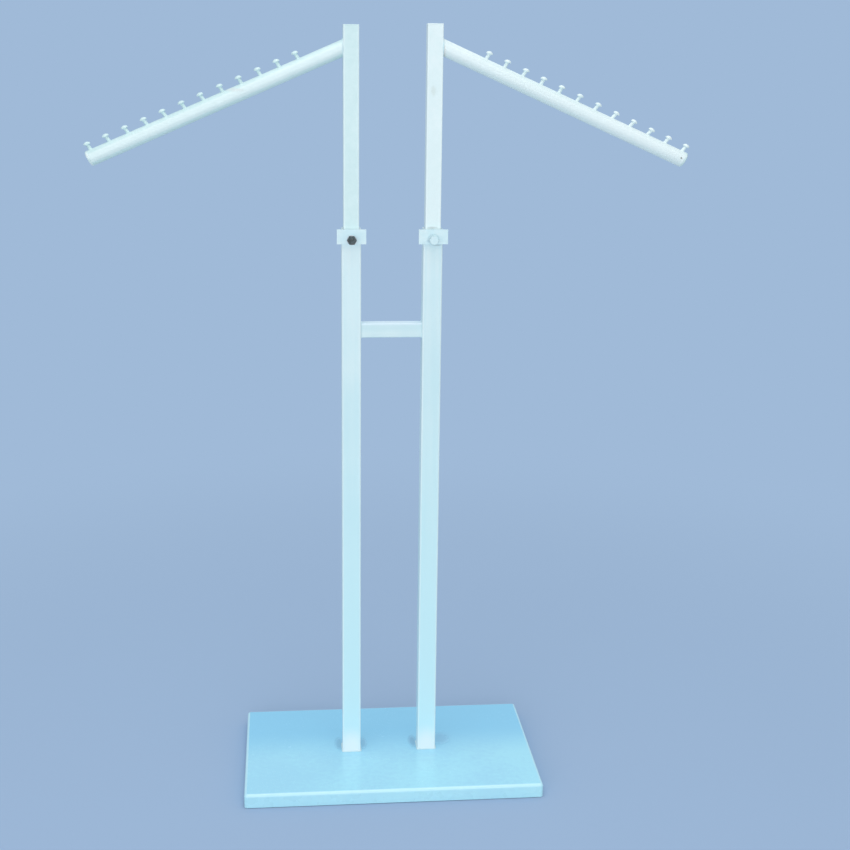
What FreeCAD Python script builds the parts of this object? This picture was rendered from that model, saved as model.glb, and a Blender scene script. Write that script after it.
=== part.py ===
"""Two-arm display stand: a folded steel base, an H-frame of square tube, and two telescopic posts.

Each inner post slides in its outer post and is locked by a clamp bolt. It carries a round arm that
slopes down and away from the post, with a row of mushroom pegs along its top.

Frame: +Z up, X along the arms, -Y to the front where the clamp bolts are. The origin is on the
floor, at the middle of the base. Sizes are in millimetres and degrees.
"""
import FreeCAD, Part
import math
import os
import re

import Sketcher

# Every size that can be set by itself, once: alias -> (value, what it is).
SIZES = {
    "base_width": (640, "base tray, along X"),
    "base_depth": (400, "base tray, along Y"),
    "tray_height": (30, "base tray, from its lip to its top"),
    "tray_sheet": (2, "sheet thickness of the base tray"),
    "tray_bend": (6, "outer bend radius of the tray's top edges"),
    "tray_corner": (7, "outer radius of the tray's upright corners"),
    "lip_width": (24, "return lip round the tray's underside, from its outer face"),
    "glide_proud": (1.5, "how far the glides hold the tray off the floor"),
    "glide_diameter": (20, "glide head"),
    "glide_stem": (8, "glide stem, pressed through the lip"),
    "glide_stem_length": (8, "glide stem above its head"),
    "glide_inset": (40, "glide centre in from the tray's end"),
    "channel_width": (60, "base channel, outside"),
    "channel_height": (22, "base channel, outside"),
    "channel_wall": (2.5, "base channel thickness"),
    "channel_gap": (1, "base channel's end to the tray's bend"),
    "post_spacing": (168, "between the centres of the two posts"),
    "bush_wall": (1.8, "guide bush thickness, between the two posts"),
    "outer_wall": (2, "outer post thickness"),
    "outer_corner": (3, "outer post's corner radius"),
    "outer_length": (1170, "outer post"),
    "inner_side": (32, "inner post, across its faces"),
    "inner_wall": (1.5, "inner post thickness"),
    "inner_corner": (2, "inner post's corner radius"),
    "inner_length": (704, "inner post, without its cap"),
    "left_lift": (401, "left inner post out of its outer post, without its cap"),
    "right_lift": (405, "right inner post out of its outer post, without its cap"),
    "plug_fit": (0.05, "gap round a pressed plug or bush"),
    "slide_fit": (0.15, "gap between the inner post and its bush"),
    "slider_fit": (0.3, "gap between the slider and the outer post's bore"),
    "foot_thickness": (12, "tapped plug in the outer post's foot"),
    "bush_length": (40, "guide bush in the outer post's mouth"),
    "bush_recess": (0.5, "guide bush below the outer post's end"),
    "slider_flange": (12, "slider below the inner post's end"),
    "slider_stem": (25, "slider inside the inner post"),
    "cap_thickness": (2, "cap plate on the inner post"),
    "crossbar_side": (30, "crossbar, across its faces"),
    "crossbar_wall": (1.5, "crossbar thickness"),
    "crossbar_corner": (2, "crossbar's corner radius"),
    "crossbar_height": (990, "crossbar's centre above the floor"),
    "plate_width": (60, "clamp plate, along X"),
    "plate_height": (30, "clamp plate, along Z, its top level with the outer post's end"),
    "plate_thickness": (6, "clamp plate"),
    "bolt_drop": (20.5, "clamp bolt's axis below the outer post's end"),
    "bolt_diameter": (10, "M10 thread, outside"),
    "bolt_flats": (17, "M10 hexagon across its flats"),
    "bolt_head": (6.4, "M10 head"),
    "bolt_tip": (1, "chamfer on a bolt's tip"),
    "hole_fit": (0.5, "gap between a bolt and its clearance hole"),
    "thread_fit": (0.05, "gap between a bolt and its thread"),
    "nut_thickness": (8, "weld nut"),
    "washer_diameter": (20, "M10 washer"),
    "washer_thickness": (2, "M10 washer"),
    "washer_fit": (0.3, "gap between a bolt and its washer"),
    "base_bolt_length": (20, "bolt through the base into a post's foot"),
    "arm_diameter": (32, "arm tube, outside"),
    "arm_wall": (1.5, "arm tube thickness"),
    "arm_slope": (23.5, "arm below the horizontal, in degrees"),
    "arm_drop": (45.5, "where the arm's axis meets the post, below the top of the post's cap"),
    "arm_length": (548, "arm tube along its axis from the post's face, without its cap"),
    "arm_cap_head": (7, "arm end cap outside the tube"),
    "arm_cap_edge": (4.5, "rounding of the arm end cap"),
    "arm_cap_stem": (15, "arm end cap inside the tube"),
    "arm_cap_fit": (0.2, "gap round the arm end cap's stem"),
    "first_peg": (90, "innermost peg from the post's face, along the arm"),
    "peg_pitch": (41, "peg to peg along the arm"),
    "peg_lean": (12, "peg towards the arm's tip, off square, in degrees"),
    "peg_rise": (17, "peg's top above the arm"),
    "peg_shank": (7, "peg shank diameter"),
    "peg_head": (14.2, "peg head diameter"),
    "peg_dome": (3.5, "dome of the peg head"),
    "peg_rim": (2.2, "straight rim under the dome"),
    "peg_root": (0.8, "peg shank below the arm's surface"),
    "peg_fit": (0.1, "gap between a peg and its hole"),
}
PEGS_PER_ARM = 12
SIDES = {"left": -1, "right": 1}

# Levels and lengths that follow from the sheet, as formulas on its aliases.
BASE_TOP = "(glide_proud + tray_height)"
TRAY_INSIDE_TOP = f"({BASE_TOP} - tray_sheet)"
BUSH_BORE = "(inner_side + 2 * slide_fit)"
OUTER_BORE = f"({BUSH_BORE} + 2 * bush_wall + 2 * plug_fit)"
OUTER_SIDE = f"({OUTER_BORE} + 2 * outer_wall)"
OUTER_BORE_CORNER = "(outer_corner - outer_wall)"
OUTER_END = f"({BASE_TOP} + outer_length)"
BOLT_LEVEL = f"({OUTER_END} - bolt_drop)"
INNER_BORE = "(inner_side - 2 * inner_wall)"
INNER_BORE_CORNER = "(inner_corner - inner_wall)"
ARM_BORE = "(arm_diameter - 2 * arm_wall)"
CLAMP_FACE = f"({OUTER_SIDE} / 2 + plate_thickness)"
CLAMP_REACH = f"({CLAMP_FACE} + nut_thickness + washer_thickness - inner_side / 2)"
BOLT_HOLE = "(bolt_diameter + 2 * hole_fit)"
TAPPED_HOLE = "(bolt_diameter + 2 * thread_fit)"
GLIDE_PLACES = {
    f"{end}_{side}": (f"{sign} * (base_width / 2 - glide_inset)",
                      f"{forward} * (base_depth / 2 - lip_width / 2)")
    for end, forward in (("front", -1), ("rear", 1)) for side, sign in SIDES.items()
}

doc = FreeCAD.newDocument("display_stand")
sheet = doc.addObject("Spreadsheet::Sheet", "Sizes")
for row, (alias, (value, meaning)) in enumerate(SIZES.items(), start=1):
    sheet.set(f"A{row}", meaning)
    sheet.set(f"B{row}", str(value))
    sheet.setAlias(f"B{row}", alias)
doc.recompute()

nodes = []


def sized(formula):
    """Return a formula with each alias of the sheet turned into a reference to its cell."""
    return re.sub(r"[a-z_]+", lambda word: f"Sizes.{word[0]}" if word[0] in SIZES else word[0], formula)


def measure(formula):
    """Return a formula's present value, for picking edges and setting first guesses."""
    return float(sheet.evalExpression(sized(formula)))


def bind(item, **formulas):
    """Bind an object's properties to formulas; a double underscore stands for a dot."""
    for name, formula in formulas.items():
        item.setExpression(name.replace("__", "."), sized(formula))


def new_body(name):
    """Start a sub-part, whose name is its node's name."""
    body = doc.addObject("PartDesign::Body", name)
    body.Label = name
    nodes.append(body)
    return body


def place(item, x="0", y="0", z="0", turn_axis=None, turn="0"):
    """Put a sub-part at x, y, z, turned about one axis; each argument is a formula."""
    if turn_axis is not None:
        item.Placement = FreeCAD.Placement(FreeCAD.Vector(), FreeCAD.Rotation(turn_axis, 1))
        bind(item, Placement__Rotation__Angle=turn)
    bind(item, Placement__Base__x=x, Placement__Base__y=y, Placement__Base__z=z)


def place_along_y(item, x, y, z):
    """Put a sub-part with its own +Z along +Y, into the post."""
    place(item, x, y, z, FreeCAD.Vector(-1, 0, 0), "90")


def add_sketch(body, name, plane="XY_Plane", raised="0"):
    """Add a sketch on one of the body's own planes, raised along the plane's normal."""
    sketch = body.newObject("Sketcher::SketchObject", name)
    support = next(item for item in body.Origin.OriginFeatures if item.Role == plane)
    sketch.AttachmentSupport = [(support, "")]
    sketch.MapMode = "FlatFace"
    bind(sketch, AttachmentOffset__Base__z=raised)
    return sketch


def name_size(sketch, constraint, name, formula):
    """Add a driving constraint, name it and bind it to a formula."""
    index = sketch.addConstraint(constraint)
    sketch.renameConstraint(index, name)
    sketch.setExpression(f"Constraints.{name}", sized(formula))


def add_outline(sketch, points):
    """Add a closed outline of straight lines and return its first line's index."""
    first = sketch.GeometryCount
    ends = points[1:] + points[:1]
    for start, end in zip(points, ends):
        sketch.addGeometry(Part.LineSegment(FreeCAD.Vector(*start, 0), FreeCAD.Vector(*end, 0)), False)
    for step in range(len(points)):
        following = first + (step + 1) % len(points)
        sketch.addConstraint(Sketcher.Constraint("Coincident", first + step, 2, following, 1))
    return first


def add_rectangle(sketch, width, height, name="box"):
    """Add a rectangle about the sketch's origin."""
    half_width, half_height = measure(width) / 2, measure(height) / 2
    corners = [(-half_width, -half_height), (half_width, -half_height),
               (half_width, half_height), (-half_width, half_height)]
    first = add_outline(sketch, corners)
    for step, direction in enumerate(("Horizontal", "Vertical", "Horizontal", "Vertical")):
        sketch.addConstraint(Sketcher.Constraint(direction, first + step))
    sketch.addConstraint(Sketcher.Constraint("Symmetric", first, 1, first + 1, 2, -1, 1))
    name_size(sketch, Sketcher.Constraint("DistanceX", first, 1, first, 2, 2 * half_width),
              f"{name}_width", width)
    name_size(sketch, Sketcher.Constraint("DistanceY", first + 1, 1, first + 1, 2, 2 * half_height),
              f"{name}_height", height)


def add_rounded_rectangle(sketch, width, height, corner, name="box"):
    """Add a rectangle about the sketch's origin, with four equal round corners."""
    radius = measure(corner)
    reach_x, reach_y = measure(width) / 2, measure(height) / 2
    turns = ((1, -1, 270), (1, 1, 0), (-1, 1, 90), (-1, -1, 180))
    arcs = []
    for x, y, start in turns:
        centre = FreeCAD.Vector(x * (reach_x - radius), y * (reach_y - radius), 0)
        circle = Part.Circle(centre, FreeCAD.Vector(0, 0, 1), radius)
        arc = Part.ArcOfCircle(circle, math.radians(start), math.radians(start + 90))
        arcs.append(sketch.addGeometry(arc, False))
    for step, direction in enumerate(("Vertical", "Horizontal", "Vertical", "Horizontal")):
        arc, following = arcs[step], arcs[(step + 1) % 4]
        line = Part.LineSegment(sketch.getPoint(arc, 2), sketch.getPoint(following, 1))
        side = sketch.addGeometry(line, False)
        sketch.addConstraint(Sketcher.Constraint(direction, side))
        sketch.addConstraint(Sketcher.Constraint("Tangent", arc, 2, side, 1))
        sketch.addConstraint(Sketcher.Constraint("Tangent", side, 2, following, 1))
    for arc in arcs[1:]:
        sketch.addConstraint(Sketcher.Constraint("Equal", arcs[0], arc))
    sketch.addConstraint(Sketcher.Constraint("Symmetric", arcs[0], 3, arcs[2], 3, -1, 1))
    name_size(sketch, Sketcher.Constraint("DistanceX", arcs[3], 1, arcs[0], 2, 2 * reach_x),
              f"{name}_width", width)
    name_size(sketch, Sketcher.Constraint("DistanceY", arcs[0], 1, arcs[1], 2, 2 * reach_y),
              f"{name}_height", height)
    name_size(sketch, Sketcher.Constraint("Radius", arcs[0], radius), f"{name}_corner", corner)


def add_circle(sketch, diameter, name="round"):
    """Add a circle about the sketch's origin."""
    size = measure(diameter)
    circle = Part.Circle(FreeCAD.Vector(), FreeCAD.Vector(0, 0, 1), size / 2)
    index = sketch.addGeometry(circle, False)
    sketch.addConstraint(Sketcher.Constraint("Coincident", index, 3, -1, 1))
    name_size(sketch, Sketcher.Constraint("Diameter", index, size), name, diameter)


def add_circle_at(sketch, diameter, x, y, name):
    """Add a circle with its centre at x, y; each argument but the name is a formula."""
    centre = FreeCAD.Vector(measure(x), measure(y), 0)
    circle = Part.Circle(centre, FreeCAD.Vector(0, 0, 1), measure(diameter) / 2)
    index = sketch.addGeometry(circle, False)
    name_size(sketch, Sketcher.Constraint("Diameter", index, measure(diameter)), f"{name}_size", diameter)
    if x == "0":
        sketch.addConstraint(Sketcher.Constraint("PointOnObject", index, 3, -2))
    else:
        name_size(sketch, Sketcher.Constraint("DistanceX", -1, 1, index, 3, centre.x), f"{name}_x", x)
    if y == "0":
        sketch.addConstraint(Sketcher.Constraint("PointOnObject", index, 3, -1))
    else:
        name_size(sketch, Sketcher.Constraint("DistanceY", -1, 1, index, 3, centre.y), f"{name}_y", y)


def add_hexagon(sketch, flats):
    """Add a hexagon about the sketch's origin, with two corners on its horizontal axis."""
    across_corners = f"({flats}) / cos(30)"
    guide = Part.Circle(FreeCAD.Vector(), FreeCAD.Vector(0, 0, 1), measure(across_corners) / 2)
    corner = FreeCAD.Vector(measure(across_corners) / 2, 0, 0)
    turns = [FreeCAD.Rotation(FreeCAD.Vector(0, 0, 1), 60 * step) for step in range(6)]
    first = add_outline(sketch, [tuple(turn.multVec(corner))[:2] for turn in turns])
    ring = sketch.addGeometry(guide, True)
    sketch.addConstraint(Sketcher.Constraint("Coincident", ring, 3, -1, 1))
    for step in range(6):
        sketch.addConstraint(Sketcher.Constraint("PointOnObject", first + step, 1, ring))
    for step in range(1, 6):
        sketch.addConstraint(Sketcher.Constraint("Equal", first, first + step))
    sketch.addConstraint(Sketcher.Constraint("PointOnObject", first, 1, -1))
    name_size(sketch, Sketcher.Constraint("Diameter", ring, measure(across_corners)),
              "across_corners", across_corners)


def pad(body, sketch, length, name="Pad"):
    """Grow a sketch along its normal."""
    doc.recompute()
    feature = body.newObject("PartDesign::Pad", name)
    feature.Profile = sketch
    bind(feature, Length=length)
    doc.recompute()
    return feature


def pocket(body, sketch, length, along_normal=False, name="Pocket"):
    """Cut a sketch away, against its normal or along it, and check that it cut something."""
    doc.recompute()
    before = body.Shape.Volume
    feature = body.newObject("PartDesign::Pocket", name)
    feature.Profile = sketch
    feature.Reversed = along_normal
    bind(feature, Length=length)
    doc.recompute()
    if body.Shape.Volume > before - 1e-3:
        raise RuntimeError(f"{body.Label}: {feature.Name} cut nothing")
    return feature


def edges_at(shape, level):
    """Return the names of a shape's edges that lie flat at one height."""
    return [f"Edge{number}" for number, edge in enumerate(shape.Edges, start=1)
            if edge.BoundBox.ZLength < 1e-3 and abs(edge.BoundBox.ZMin - measure(level)) < 1e-3]


def dress(body, kind, size, level, name):
    """Add a Fillet or a Chamfer to every edge of the body that lies flat at one height."""
    base = body.Tip
    feature = body.newObject(f"PartDesign::{kind}", name)
    feature.Base = (base, edges_at(base.Shape, level))
    bind(feature, **{"Radius" if kind == "Fillet" else "Size": size})
    doc.recompute()


def square_tube(body, side, wall, corner, length):
    """Model a square tube along the body's own +Z, with rounded corners inside and out."""
    bore = f"({side} - 2 * {wall})"
    section = add_sketch(body, "Section")
    add_rounded_rectangle(section, side, side, corner, "outside")
    add_rounded_rectangle(section, bore, bore, f"{corner} - {wall}", "bore")
    pad(body, section, length, "Tube")


def bolt_hole_at(body, level, reach):
    """Drill the clamp bolt's hole through the front wall, from the middle of the body."""
    hole = add_sketch(body, "BoltHole", "XZ_Plane")
    circle = Part.Circle(FreeCAD.Vector(0, measure(level), 0), FreeCAD.Vector(0, 0, 1), 1)
    index = hole.addGeometry(circle, False)
    hole.addConstraint(Sketcher.Constraint("PointOnObject", index, 3, -2))
    name_size(hole, Sketcher.Constraint("DistanceY", -1, 1, index, 3, measure(level)), "level", level)
    name_size(hole, Sketcher.Constraint("Diameter", index, measure(BOLT_HOLE)), "hole", BOLT_HOLE)
    pocket(body, hole, reach, along_normal=True, name="BoltHolePocket")


def make_base_tray():
    """The folded tray: top, four rims and a return lip, with holes for bolts and glides."""
    body = new_body("base_tray")
    outline = add_sketch(body, "Outline")
    add_rounded_rectangle(outline, "base_width", "base_depth", "tray_corner")
    pad(body, outline, "tray_height", "Block")
    dress(body, "Fillet", "tray_bend", "tray_height", "TopBend")
    inside = add_sketch(body, "Inside", raised="tray_sheet")
    add_rounded_rectangle(inside, "base_width - 2 * tray_sheet", "base_depth - 2 * tray_sheet",
                          "tray_corner - tray_sheet")
    pocket(body, inside, "tray_height - 2 * tray_sheet", along_normal=True, name="Hollow")
    dress(body, "Fillet", "tray_bend - tray_sheet", "tray_height - tray_sheet", "InnerBend")
    mouth = add_sketch(body, "Mouth")
    add_rectangle(mouth, "base_width - 2 * lip_width", "base_depth - 2 * lip_width")
    pocket(body, mouth, "tray_sheet", along_normal=True, name="MouthPocket")

    bolts = add_sketch(body, "BoltHoles", raised="tray_height")
    for side, sign in SIDES.items():
        add_circle_at(bolts, BOLT_HOLE, f"{sign} * post_spacing / 2", "0", side)
    pocket(body, bolts, "tray_sheet", name="BoltHolesPocket")
    glides = add_sketch(body, "GlideHoles", raised="tray_sheet")
    for name, (x, y) in GLIDE_PLACES.items():
        add_circle_at(glides, "glide_stem + 2 * plug_fit", x, y, name)
    pocket(body, glides, "tray_sheet", name="GlideHolesPocket")
    place(body, z="glide_proud")


def make_glide(name, x, y):
    """A nylon glide: a flat head on the floor and a stem through the tray's lip."""
    body = new_body(f"glide_{name}")
    head = add_sketch(body, "Head")
    add_circle(head, "glide_diameter")
    pad(body, head, "glide_proud", "HeadPad")
    stem = add_sketch(body, "Stem", raised="glide_proud")
    add_circle(stem, "glide_stem")
    pad(body, stem, "glide_stem_length", "StemPad")
    place(body, x, y)


def make_base_channel(side, sign):
    """A U channel welded under the tray from front to rear, which takes one post's bolt."""
    body = new_body(f"base_channel_{side}")
    length = "(base_depth - 2 * tray_bend - 2 * channel_gap)"
    outline = add_sketch(body, "Outline")
    add_rectangle(outline, "channel_width", length)
    pad(body, outline, "channel_height", "Block")
    inside = add_sketch(body, "Inside")
    add_rectangle(inside, "channel_width - 2 * channel_wall", length)
    pocket(body, inside, "channel_height - channel_wall", along_normal=True, name="Trough")
    hole = add_sketch(body, "BoltHole", raised="channel_height")
    add_circle(hole, BOLT_HOLE)
    pocket(body, hole, "channel_wall", name="BoltHolePocket")
    place(body, f"{sign} * post_spacing / 2", z=f"{TRAY_INSIDE_TOP} - channel_height")


def make_outer_post(side, sign):
    """The fixed lower post, with the clamp bolt's hole near its mouth."""
    body = new_body(f"outer_post_{side}")
    square_tube(body, OUTER_SIDE, "outer_wall", "outer_corner", "outer_length")
    bolt_hole_at(body, "outer_length - bolt_drop", OUTER_SIDE)
    place(body, f"{sign} * post_spacing / 2", z=BASE_TOP)


def make_post_foot(side, sign):
    """The tapped plug in the outer post's foot."""
    body = new_body(f"post_foot_{side}")
    outline = add_sketch(body, "Outline")
    side_length = f"({OUTER_BORE} - 2 * plug_fit)"
    add_rounded_rectangle(outline, side_length, side_length, OUTER_BORE_CORNER)
    pad(body, outline, "foot_thickness", "Block")
    hole = add_sketch(body, "Thread", raised="foot_thickness")
    add_circle(hole, TAPPED_HOLE)
    pocket(body, hole, "foot_thickness", name="ThreadPocket")
    place(body, f"{sign} * post_spacing / 2", z=BASE_TOP)


def hex_bolt(body, length):
    """Model an M10 hexagon bolt along the body's own +Z, its origin under the head."""
    head = add_sketch(body, "Head", raised="-bolt_head")
    add_hexagon(head, "bolt_flats")
    pad(body, head, "bolt_head", "HeadPad")
    shank = add_sketch(body, "Shank")
    add_circle(shank, "bolt_diameter")
    pad(body, shank, length, "ShankPad")
    dress(body, "Chamfer", "bolt_tip", length, "Tip")


def flat_ring(body, outside, bore, thickness):
    """Model a washer along the body's own +Z."""
    section = add_sketch(body, "Section")
    add_circle(section, outside, "outside")
    add_circle(section, bore, "bore")
    pad(body, section, thickness, "Ring")


def make_group(name, members):
    """Join identical fasteners, as separate solids, in one node."""
    for member in members:
        nodes.remove(member)
    group = doc.addObject("Part::Compound", name)
    group.Label = name
    group.Links = members
    nodes.append(group)


def make_base_fasteners():
    """A bolt and a washer up through the channel and the tray into each post's foot."""
    bolts, washers = [], []
    washer_level = f"({TRAY_INSIDE_TOP} - channel_wall - washer_thickness)"
    for side, sign in SIDES.items():
        bolt = new_body(f"base_bolt_{side}")
        hex_bolt(bolt, "base_bolt_length")
        place(bolt, f"{sign} * post_spacing / 2", z=washer_level)
        bolts.append(bolt)
        washer = new_body(f"base_washer_{side}")
        flat_ring(washer, "washer_diameter", "bolt_diameter + 2 * washer_fit", "washer_thickness")
        place(washer, f"{sign} * post_spacing / 2", z=washer_level)
        washers.append(washer)
    make_group("base_bolts", bolts)
    make_group("base_washers", washers)


def make_crossbar():
    """The square tube that ties the two outer posts into an H."""
    body = new_body("crossbar")
    square_tube(body, "crossbar_side", "crossbar_wall", "crossbar_corner", f"(post_spacing - {OUTER_SIDE})")
    place(body, f"({OUTER_SIDE} - post_spacing) / 2", z="crossbar_height",
          turn_axis=FreeCAD.Vector(0, 1, 0), turn="90")


def make_guide_bush(side, sign):
    """The nylon liner in the outer post's mouth that the inner post slides in."""
    body = new_body(f"guide_bush_{side}")
    outside = f"({OUTER_BORE} - 2 * plug_fit)"
    section = add_sketch(body, "Section")
    add_rounded_rectangle(section, outside, outside, OUTER_BORE_CORNER, "outside")
    add_rounded_rectangle(section, BUSH_BORE, BUSH_BORE, "inner_corner + slide_fit", "bore")
    pad(body, section, "bush_length", "Liner")
    bolt_hole_at(body, "bush_length + bush_recess - bolt_drop", OUTER_SIDE)
    place(body, f"{sign} * post_spacing / 2", z=f"{OUTER_END} - bush_recess - bush_length")


def make_clamp(side, sign):
    """The clamp on one outer post: plate, weld nut, washer and bolt, along the bolt's axis."""
    x = f"{sign} * post_spacing / 2"
    plate = new_body(f"clamp_plate_{side}")
    outline = add_sketch(plate, "Outline")
    add_rectangle(outline, "plate_width", "plate_height")
    pad(plate, outline, "plate_thickness", "Block")
    hole = add_sketch(plate, "BoltHole", raised="plate_thickness")
    add_circle_at(hole, BOLT_HOLE, "0", "bolt_drop - plate_height / 2", "bolt")
    pocket(plate, hole, "plate_thickness", name="BoltHolePocket")
    place_along_y(plate, x, f"-{CLAMP_FACE}", f"{OUTER_END} - plate_height / 2")

    nut = new_body(f"clamp_nut_{side}")
    hexagon = add_sketch(nut, "Hexagon")
    add_hexagon(hexagon, "bolt_flats")
    pad(nut, hexagon, "nut_thickness", "Block")
    thread = add_sketch(nut, "Thread", raised="nut_thickness")
    add_circle(thread, TAPPED_HOLE)
    pocket(nut, thread, "nut_thickness", name="ThreadPocket")
    place_along_y(nut, x, f"-{CLAMP_FACE} - nut_thickness", BOLT_LEVEL)

    seat = f"-{CLAMP_FACE} - nut_thickness - washer_thickness"
    washer = new_body(f"clamp_washer_{side}")
    flat_ring(washer, "washer_diameter", "bolt_diameter + 2 * washer_fit", "washer_thickness")
    place_along_y(washer, x, seat, BOLT_LEVEL)

    bolt = new_body(f"clamp_bolt_{side}")
    hex_bolt(bolt, CLAMP_REACH)
    place_along_y(bolt, x, seat, BOLT_LEVEL)


def make_inner_post(side, sign):
    """The sliding post with its cap plate on top and its slider below."""
    x = f"{sign} * post_spacing / 2"
    end = f"({OUTER_END} + {side}_lift)"
    post = new_body(f"inner_post_{side}")
    square_tube(post, "inner_side", "inner_wall", "inner_corner", "inner_length")
    place(post, x, z=f"{end} - inner_length")

    cap = new_body(f"post_cap_{side}")
    outline = add_sketch(cap, "Outline")
    add_rounded_rectangle(outline, "inner_side", "inner_side", "inner_corner")
    pad(cap, outline, "cap_thickness", "Plate")
    place(cap, x, z=end)

    slider = new_body(f"post_slider_{side}")
    flange_side = f"({OUTER_BORE} - 2 * slider_fit)"
    flange = add_sketch(slider, "Flange", raised="-slider_flange")
    add_rounded_rectangle(flange, flange_side, flange_side, OUTER_BORE_CORNER)
    pad(slider, flange, "slider_flange", "FlangePad")
    stem_side = f"({INNER_BORE} - 2 * plug_fit)"
    stem = add_sketch(slider, "Stem")
    add_rounded_rectangle(stem, stem_side, stem_side, INNER_BORE_CORNER)
    pad(slider, stem, "slider_stem", "StemPad")
    place(slider, x, z=f"{end} - inner_length")


def arm_root(side, sign):
    """Return x and z of the point where an arm's axis meets its post's outer face."""
    x = f"{sign} * (post_spacing + inner_side) / 2"
    z = f"({OUTER_END} + {side}_lift + cap_thickness - arm_drop)"
    return x, z


def on_arm(side, sign, along, above="0"):
    """Return x and z of a point at a distance along an arm's axis and a height square to it."""
    x, z = arm_root(side, sign)
    return (f"{x} + {sign} * ({along} * cos(arm_slope) + {above} * sin(arm_slope))",
            f"{z} - {along} * sin(arm_slope) + {above} * cos(arm_slope)")


def make_arm(side, sign):
    """The arm tube: mitred to the post's face, with a row of leaning holes for its pegs.

    Its own +Z runs out along the arm, and its top is towards its own X, on the side -sign.
    """
    body = new_body(f"arm_{side}")
    overlap = "(arm_diameter / 2 * tan(arm_slope))"
    section = add_sketch(body, "Section", raised=f"-{overlap}")
    add_circle(section, "arm_diameter", "outside")
    add_circle(section, ARM_BORE, "bore")
    pad(body, section, f"arm_length + {overlap}", "Tube")

    mitre = add_sketch(body, "Mitre", "XZ_Plane", raised="-arm_diameter")
    reach, rise = measure("arm_diameter"), measure("arm_diameter * tan(arm_slope)")
    first = add_outline(mitre, [(sign * reach, rise), (-sign * reach, -rise), (sign * reach, -rise)])
    mitre.addConstraint(Sketcher.Constraint("Symmetric", first, 1, first, 2, -1, 1))
    mitre.addConstraint(Sketcher.Constraint("Horizontal", first + 1))
    mitre.addConstraint(Sketcher.Constraint("Vertical", first + 2))
    name_size(mitre, Sketcher.Constraint("DistanceX", -1, 1, first, 1, sign * reach),
              "reach", f"{sign} * arm_diameter")
    name_size(mitre, Sketcher.Constraint("DistanceY", -1, 1, first, 1, rise),
              "rise", "arm_diameter * tan(arm_slope)")
    pocket(body, mitre, "2 * arm_diameter", along_normal=True, name="MitrePocket")

    hole = add_sketch(body, "PegHole", "YZ_Plane")
    hole.AttachmentOffset = FreeCAD.Placement(
        FreeCAD.Vector(), FreeCAD.Rotation(FreeCAD.Vector(sign, 0, 0), 1))
    bind(hole, AttachmentOffset__Rotation__Angle="peg_lean",
         AttachmentOffset__Base__y="first_peg - arm_diameter / 2 * tan(peg_lean)")
    add_circle(hole, "peg_shank + 2 * peg_fit")
    drilled = pocket(body, hole, "arm_diameter", along_normal=sign < 0, name="PegHolePocket")
    pattern = body.newObject("PartDesign::LinearPattern", "PegHoles")
    pattern.Originals = [drilled]
    pattern.Direction = (section, ["N_Axis"])
    pattern.Occurrences = PEGS_PER_ARM
    bind(pattern, Length=f"{PEGS_PER_ARM - 1} * peg_pitch")
    body.Tip = pattern
    place(body, *arm_place(side, sign, "0"))


def arm_place(side, sign, along):
    """Return place() arguments for a sub-part whose own +Z runs out along an arm."""
    x, z = on_arm(side, sign, along)
    return x, "0", z, FreeCAD.Vector(0, sign, 0), "90 + arm_slope"


def make_arm_cap(side, sign):
    """The plug that closes the arm's tip."""
    body = new_body(f"arm_end_cap_{side}")
    head = add_sketch(body, "Head")
    add_circle(head, "arm_diameter")
    pad(body, head, "arm_cap_head", "HeadPad")
    dress(body, "Fillet", "arm_cap_edge", "arm_cap_head", "Edge")
    stem = add_sketch(body, "Stem", raised="-arm_cap_stem")
    add_circle(stem, f"{ARM_BORE} - 2 * arm_cap_fit")
    pad(body, stem, "arm_cap_stem", "StemPad")
    place(body, *arm_place(side, sign, "arm_length"))


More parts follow.
